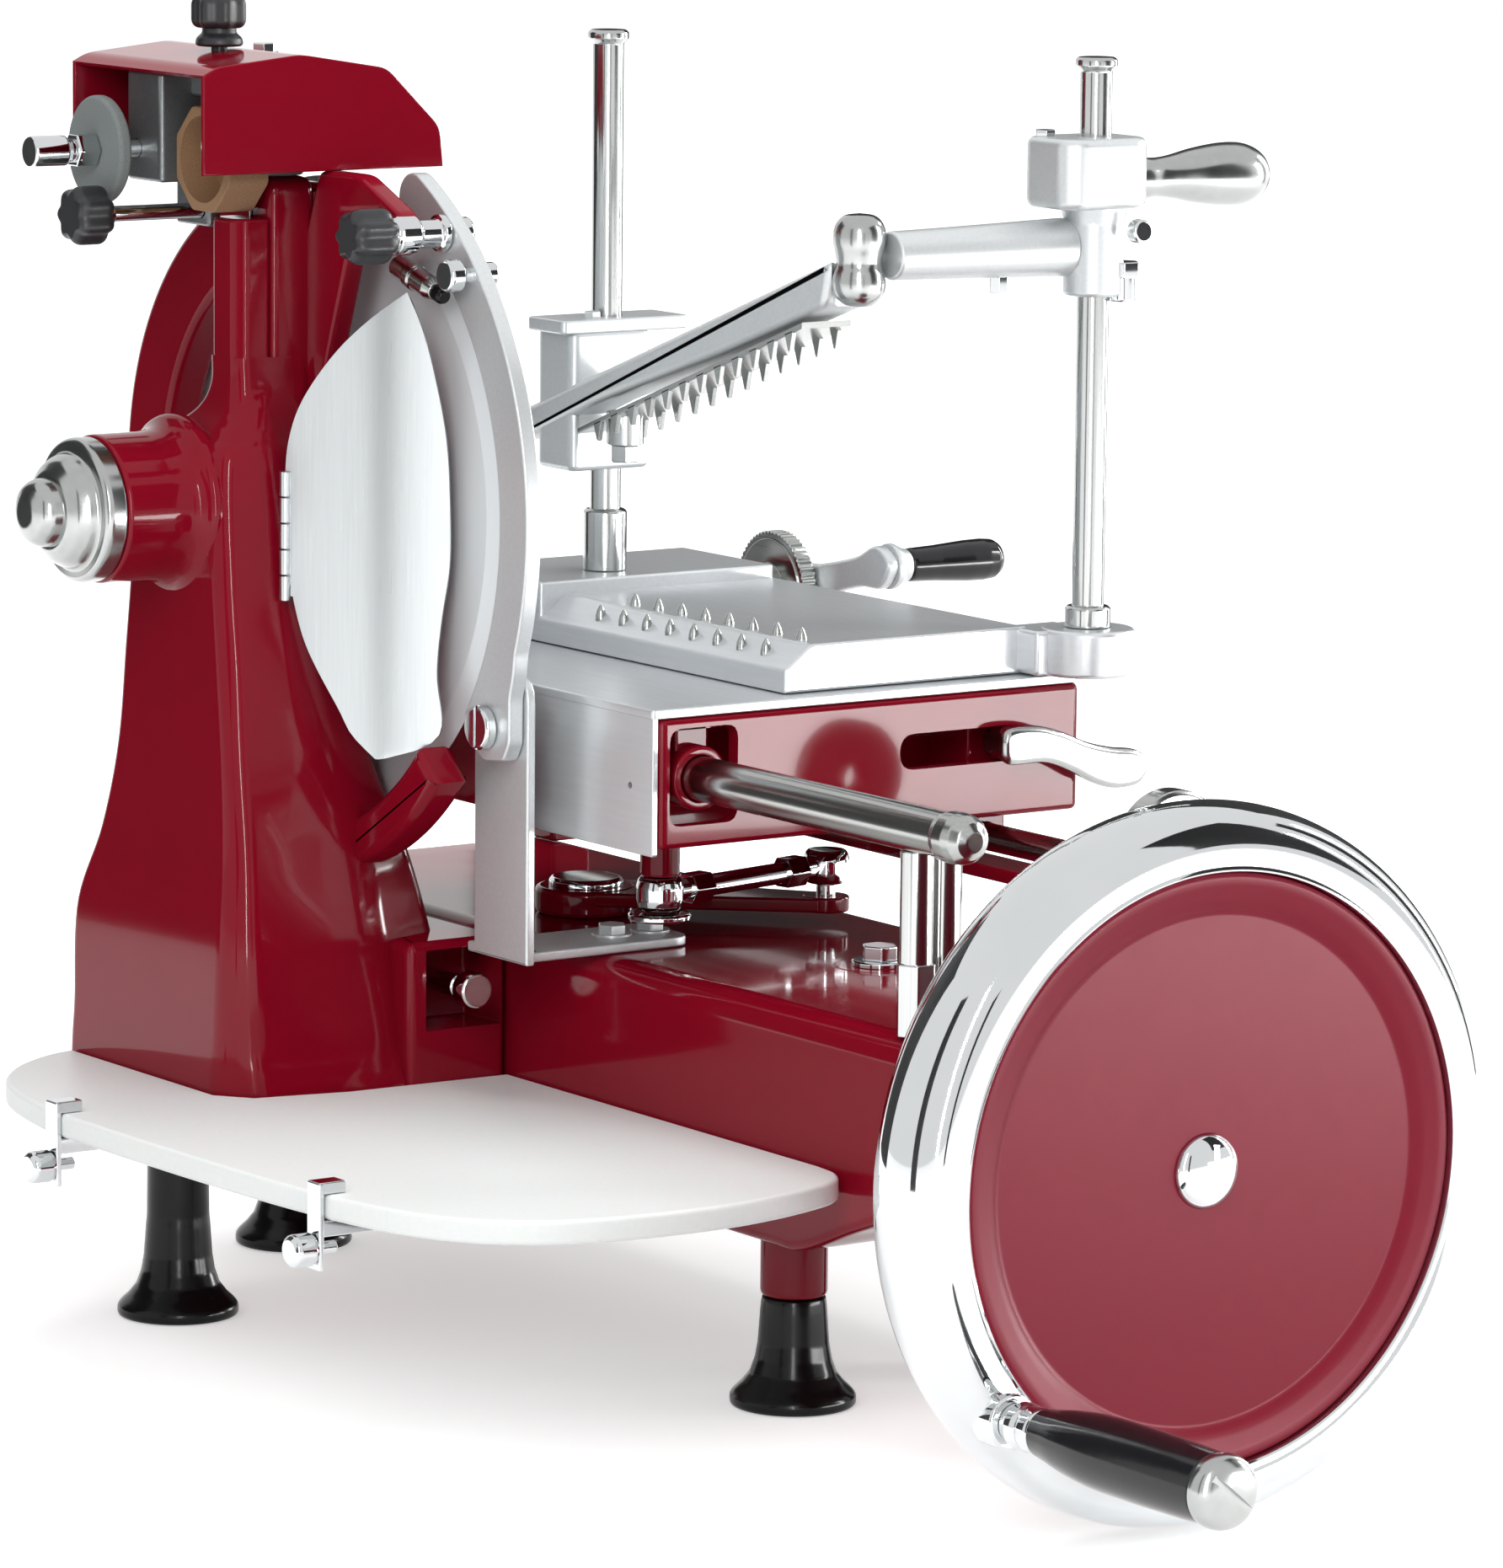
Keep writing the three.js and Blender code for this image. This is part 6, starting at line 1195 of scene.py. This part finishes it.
def build_camera(scene):
    """The camera looks along (sin h cos p, cos h cos p, -sin p), for heading h and pitch p, and is rolled
    about that."""
    data = bpy.data.cameras.new("camera")
    data.sensor_width = SENSOR_MM
    data.lens = LENS_MM
    data.clip_end = 100
    camera = bpy.data.objects.new("camera", data)
    heading, pitch, roll = (math.radians(turn) for turn in CAMERA_TURNS)
    ahead = math.cos(pitch)
    forward = Vector((math.sin(heading) * ahead, math.cos(heading) * ahead, -math.sin(pitch)))
    level = Vector((math.cos(heading), -math.sin(heading), 0))
    above = level.cross(forward)
    right = math.cos(roll) * level + math.sin(roll) * above
    up = -math.sin(roll) * level + math.cos(roll) * above
    turn = Matrix((right, up, -forward)).transposed().to_4x4()
    camera.matrix_world = Matrix.Translation(Vector((CAMERA_PLACE + SHIFT) * MM)) @ turn
    scene.collection.objects.link(camera)
    scene.camera = camera


def build_stage(scene):
    """Room, floor, lamps, cards and camera, with colours shown as they are written."""
    scene.view_settings.view_transform = "Standard"
    build_world(scene)
    build_floor(scene)
    for values in LAMPS:
        lamp(*values)
    for values in CARDS:
        card(*values)
    build_camera(scene)


# Operators, panel and the run


class SLICER_OT_finishes(bpy.types.Operator):
    """Mixes every paint, plating, stone and plastic of the machine"""
    bl_idname = "slicer.finishes"
    bl_label = "Finishes"

    def execute(self, context):
        FINISHES.clear()
        FINISHES.update(make_finishes(context.scene.slicer_colours))
        return {"FINISHED"}


class SLICER_OT_base(bpy.types.Operator):
    """Hollow beam on rubber feet: a rounded rectangle carried along Y, feet turned from a profile"""
    bl_idname = "slicer.base"
    bl_label = "Base beam and feet"

    def execute(self, context):
        build_base(context.scene.slicer_sizes)
        return {"FINISHED"}


class SLICER_OT_column(bpy.types.Operator):
    """Column of rounded six-cornered outlines joined by Catmull-Rom curves, with post, arch and bearing cap"""
    bl_idname = "slicer.column"
    bl_label = "Blade column"

    def execute(self, context):
        build_column()
        return {"FINISHED"}


class SLICER_OT_drive(bpy.types.Operator):
    """Shafts and chain inside the castings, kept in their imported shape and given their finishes"""
    bl_idname = "slicer.drive"
    bl_label = "Inner drive"

    def execute(self, context):
        dress_frame()
        return {"FINISHED"}


class SLICER_OT_blade(bpy.types.Operator):
    """Blade turned from a profile; the cover is rows between two edge curves, bowed by a sine"""
    bl_idname = "slicer.blade"
    bl_label = "Blade and cover"

    def execute(self, context):
        build_blade(context.scene.slicer_sizes)
        return {"FINISHED"}


class SLICER_OT_guard(bpy.types.Operator):
    """Flat ring round the blade edge with its bent bracket, slotted screw, grip knob and stop pin"""
    bl_idname = "slicer.guard"
    bl_label = "Guard ring"

    def execute(self, context):
        build_guard()
        return {"FINISHED"}


class SLICER_OT_flywheel(bpy.types.Operator):
    """Plated rim and painted dish turned from profiles, with the handle on its pin"""
    bl_idname = "slicer.flywheel"
    bl_label = "Flywheel"

    def execute(self, context):
        build_flywheel(context.scene.slicer_sizes)
        return {"FINISHED"}


class SLICER_OT_tray(bpy.types.Operator):
    """White board with a smooth free edge in its two clips, each with a thumb screw"""
    bl_idname = "slicer.tray"
    bl_label = "Slice tray"

    def execute(self, context):
        build_tray(context.scene.slicer_sizes)
        return {"FINISHED"}


class SLICER_OT_rails(bpy.types.Operator):
    """Ground bars, their posts, the flat bridge and the clamp disc"""
    bl_idname = "slicer.rails"
    bl_label = "Guide rails"

    def execute(self, context):
        build_rails(context.scene.slicer_sizes)
        return {"FINISHED"}


class SLICER_OT_carriage(bpy.types.Operator):
    """Open casting with windows, shaft bosses, its receiving plate and the lock lever"""
    bl_idname = "slicer.carriage"
    bl_label = "Carriage"

    def execute(self, context):
        build_carriage()
        return {"FINISHED"}


class SLICER_OT_linkage(bpy.types.Operator):
    """Rocker arm and plated connecting rod with its ball housings"""
    bl_idname = "slicer.linkage"
    bl_label = "Carriage linkage"

    def execute(self, context):
        build_linkage()
        return {"FINISHED"}


class SLICER_OT_table(bpy.types.Operator):
    """Milled table with spikes and its two upright rods"""
    bl_idname = "slicer.table"
    bl_label = "Meat table"

    def execute(self, context):
        build_table()
        return {"FINISHED"}


class SLICER_OT_feed(bpy.types.Operator):
    """Feed screw with its knurled dial, crank and turning grip"""
    bl_idname = "slicer.feed"
    bl_label = "Slice feed"

    def execute(self, context):
        build_feed()
        return {"FINISHED"}


class SLICER_OT_press(bpy.types.Operator):
    """Press head, arm, elbow, sloping beam and toothed plate"""
    bl_idname = "slicer.press"
    bl_label = "Meat press"

    def execute(self, context):
        build_press_head()
        build_press_beam()
        return {"FINISHED"}


class SLICER_OT_sharpener(bpy.types.Operator):
    """Sheet hood over the holder, grinding wheel, deburring cup and knobs"""
    bl_idname = "slicer.sharpener"
    bl_label = "Sharpener"

    def execute(self, context):
        build_hood(context.scene.slicer_sizes)
        build_sharpener()
        return {"FINISHED"}


class SLICER_OT_stage(bpy.types.Operator):
    """White floor and room, soft lamps, cards for the plating to mirror, and the camera"""
    bl_idname = "slicer.stage"
    bl_label = "Stage"

    def execute(self, context):
        build_stage(context.scene)
        return {"FINISHED"}


STEPS = (SLICER_OT_finishes, SLICER_OT_base, SLICER_OT_column, SLICER_OT_drive, SLICER_OT_blade,
         SLICER_OT_guard, SLICER_OT_flywheel, SLICER_OT_tray, SLICER_OT_rails, SLICER_OT_carriage,
         SLICER_OT_linkage, SLICER_OT_table, SLICER_OT_feed, SLICER_OT_press, SLICER_OT_sharpener,
         SLICER_OT_stage)


class SLICER_PT_panel(bpy.types.Panel):
    """Sizes, colours and steps of the slicer"""
    bl_idname = "SLICER_PT_panel"
    bl_label = "Hand crank meat slicer"
    bl_space_type = "VIEW_3D"
    bl_region_type = "UI"
    bl_category = "Slicer"

    def draw(self, context):
        for group in (context.scene.slicer_sizes, context.scene.slicer_colours):
            box = self.layout.box()
            for name in group.__annotations__:
                box.prop(group, name)
        for step in STEPS:
            self.layout.operator(step.bl_idname)


CLASSES = (SlicerSizes, SlicerColours, *STEPS, SLICER_PT_panel)


def register():
    """Registers the classes and hangs the sizes and colours on the scene."""
    for item in CLASSES:
        bpy.utils.register_class(item)
    bpy.types.Scene.slicer_sizes = bpy.props.PointerProperty(type=SlicerSizes)
    bpy.types.Scene.slicer_colours = bpy.props.PointerProperty(type=SlicerColours)


def unregister():
    """Takes away what register added."""
    del bpy.types.Scene.slicer_colours
    del bpy.types.Scene.slicer_sizes
    for item in reversed(CLASSES):
        bpy.utils.unregister_class(item)


def main():
    """Runs every step in order."""
    register()
    for step in STEPS:
        group, name = step.bl_idname.split(".")
        getattr(getattr(bpy.ops, group), name)()


if __name__ == "__main__":
    main()
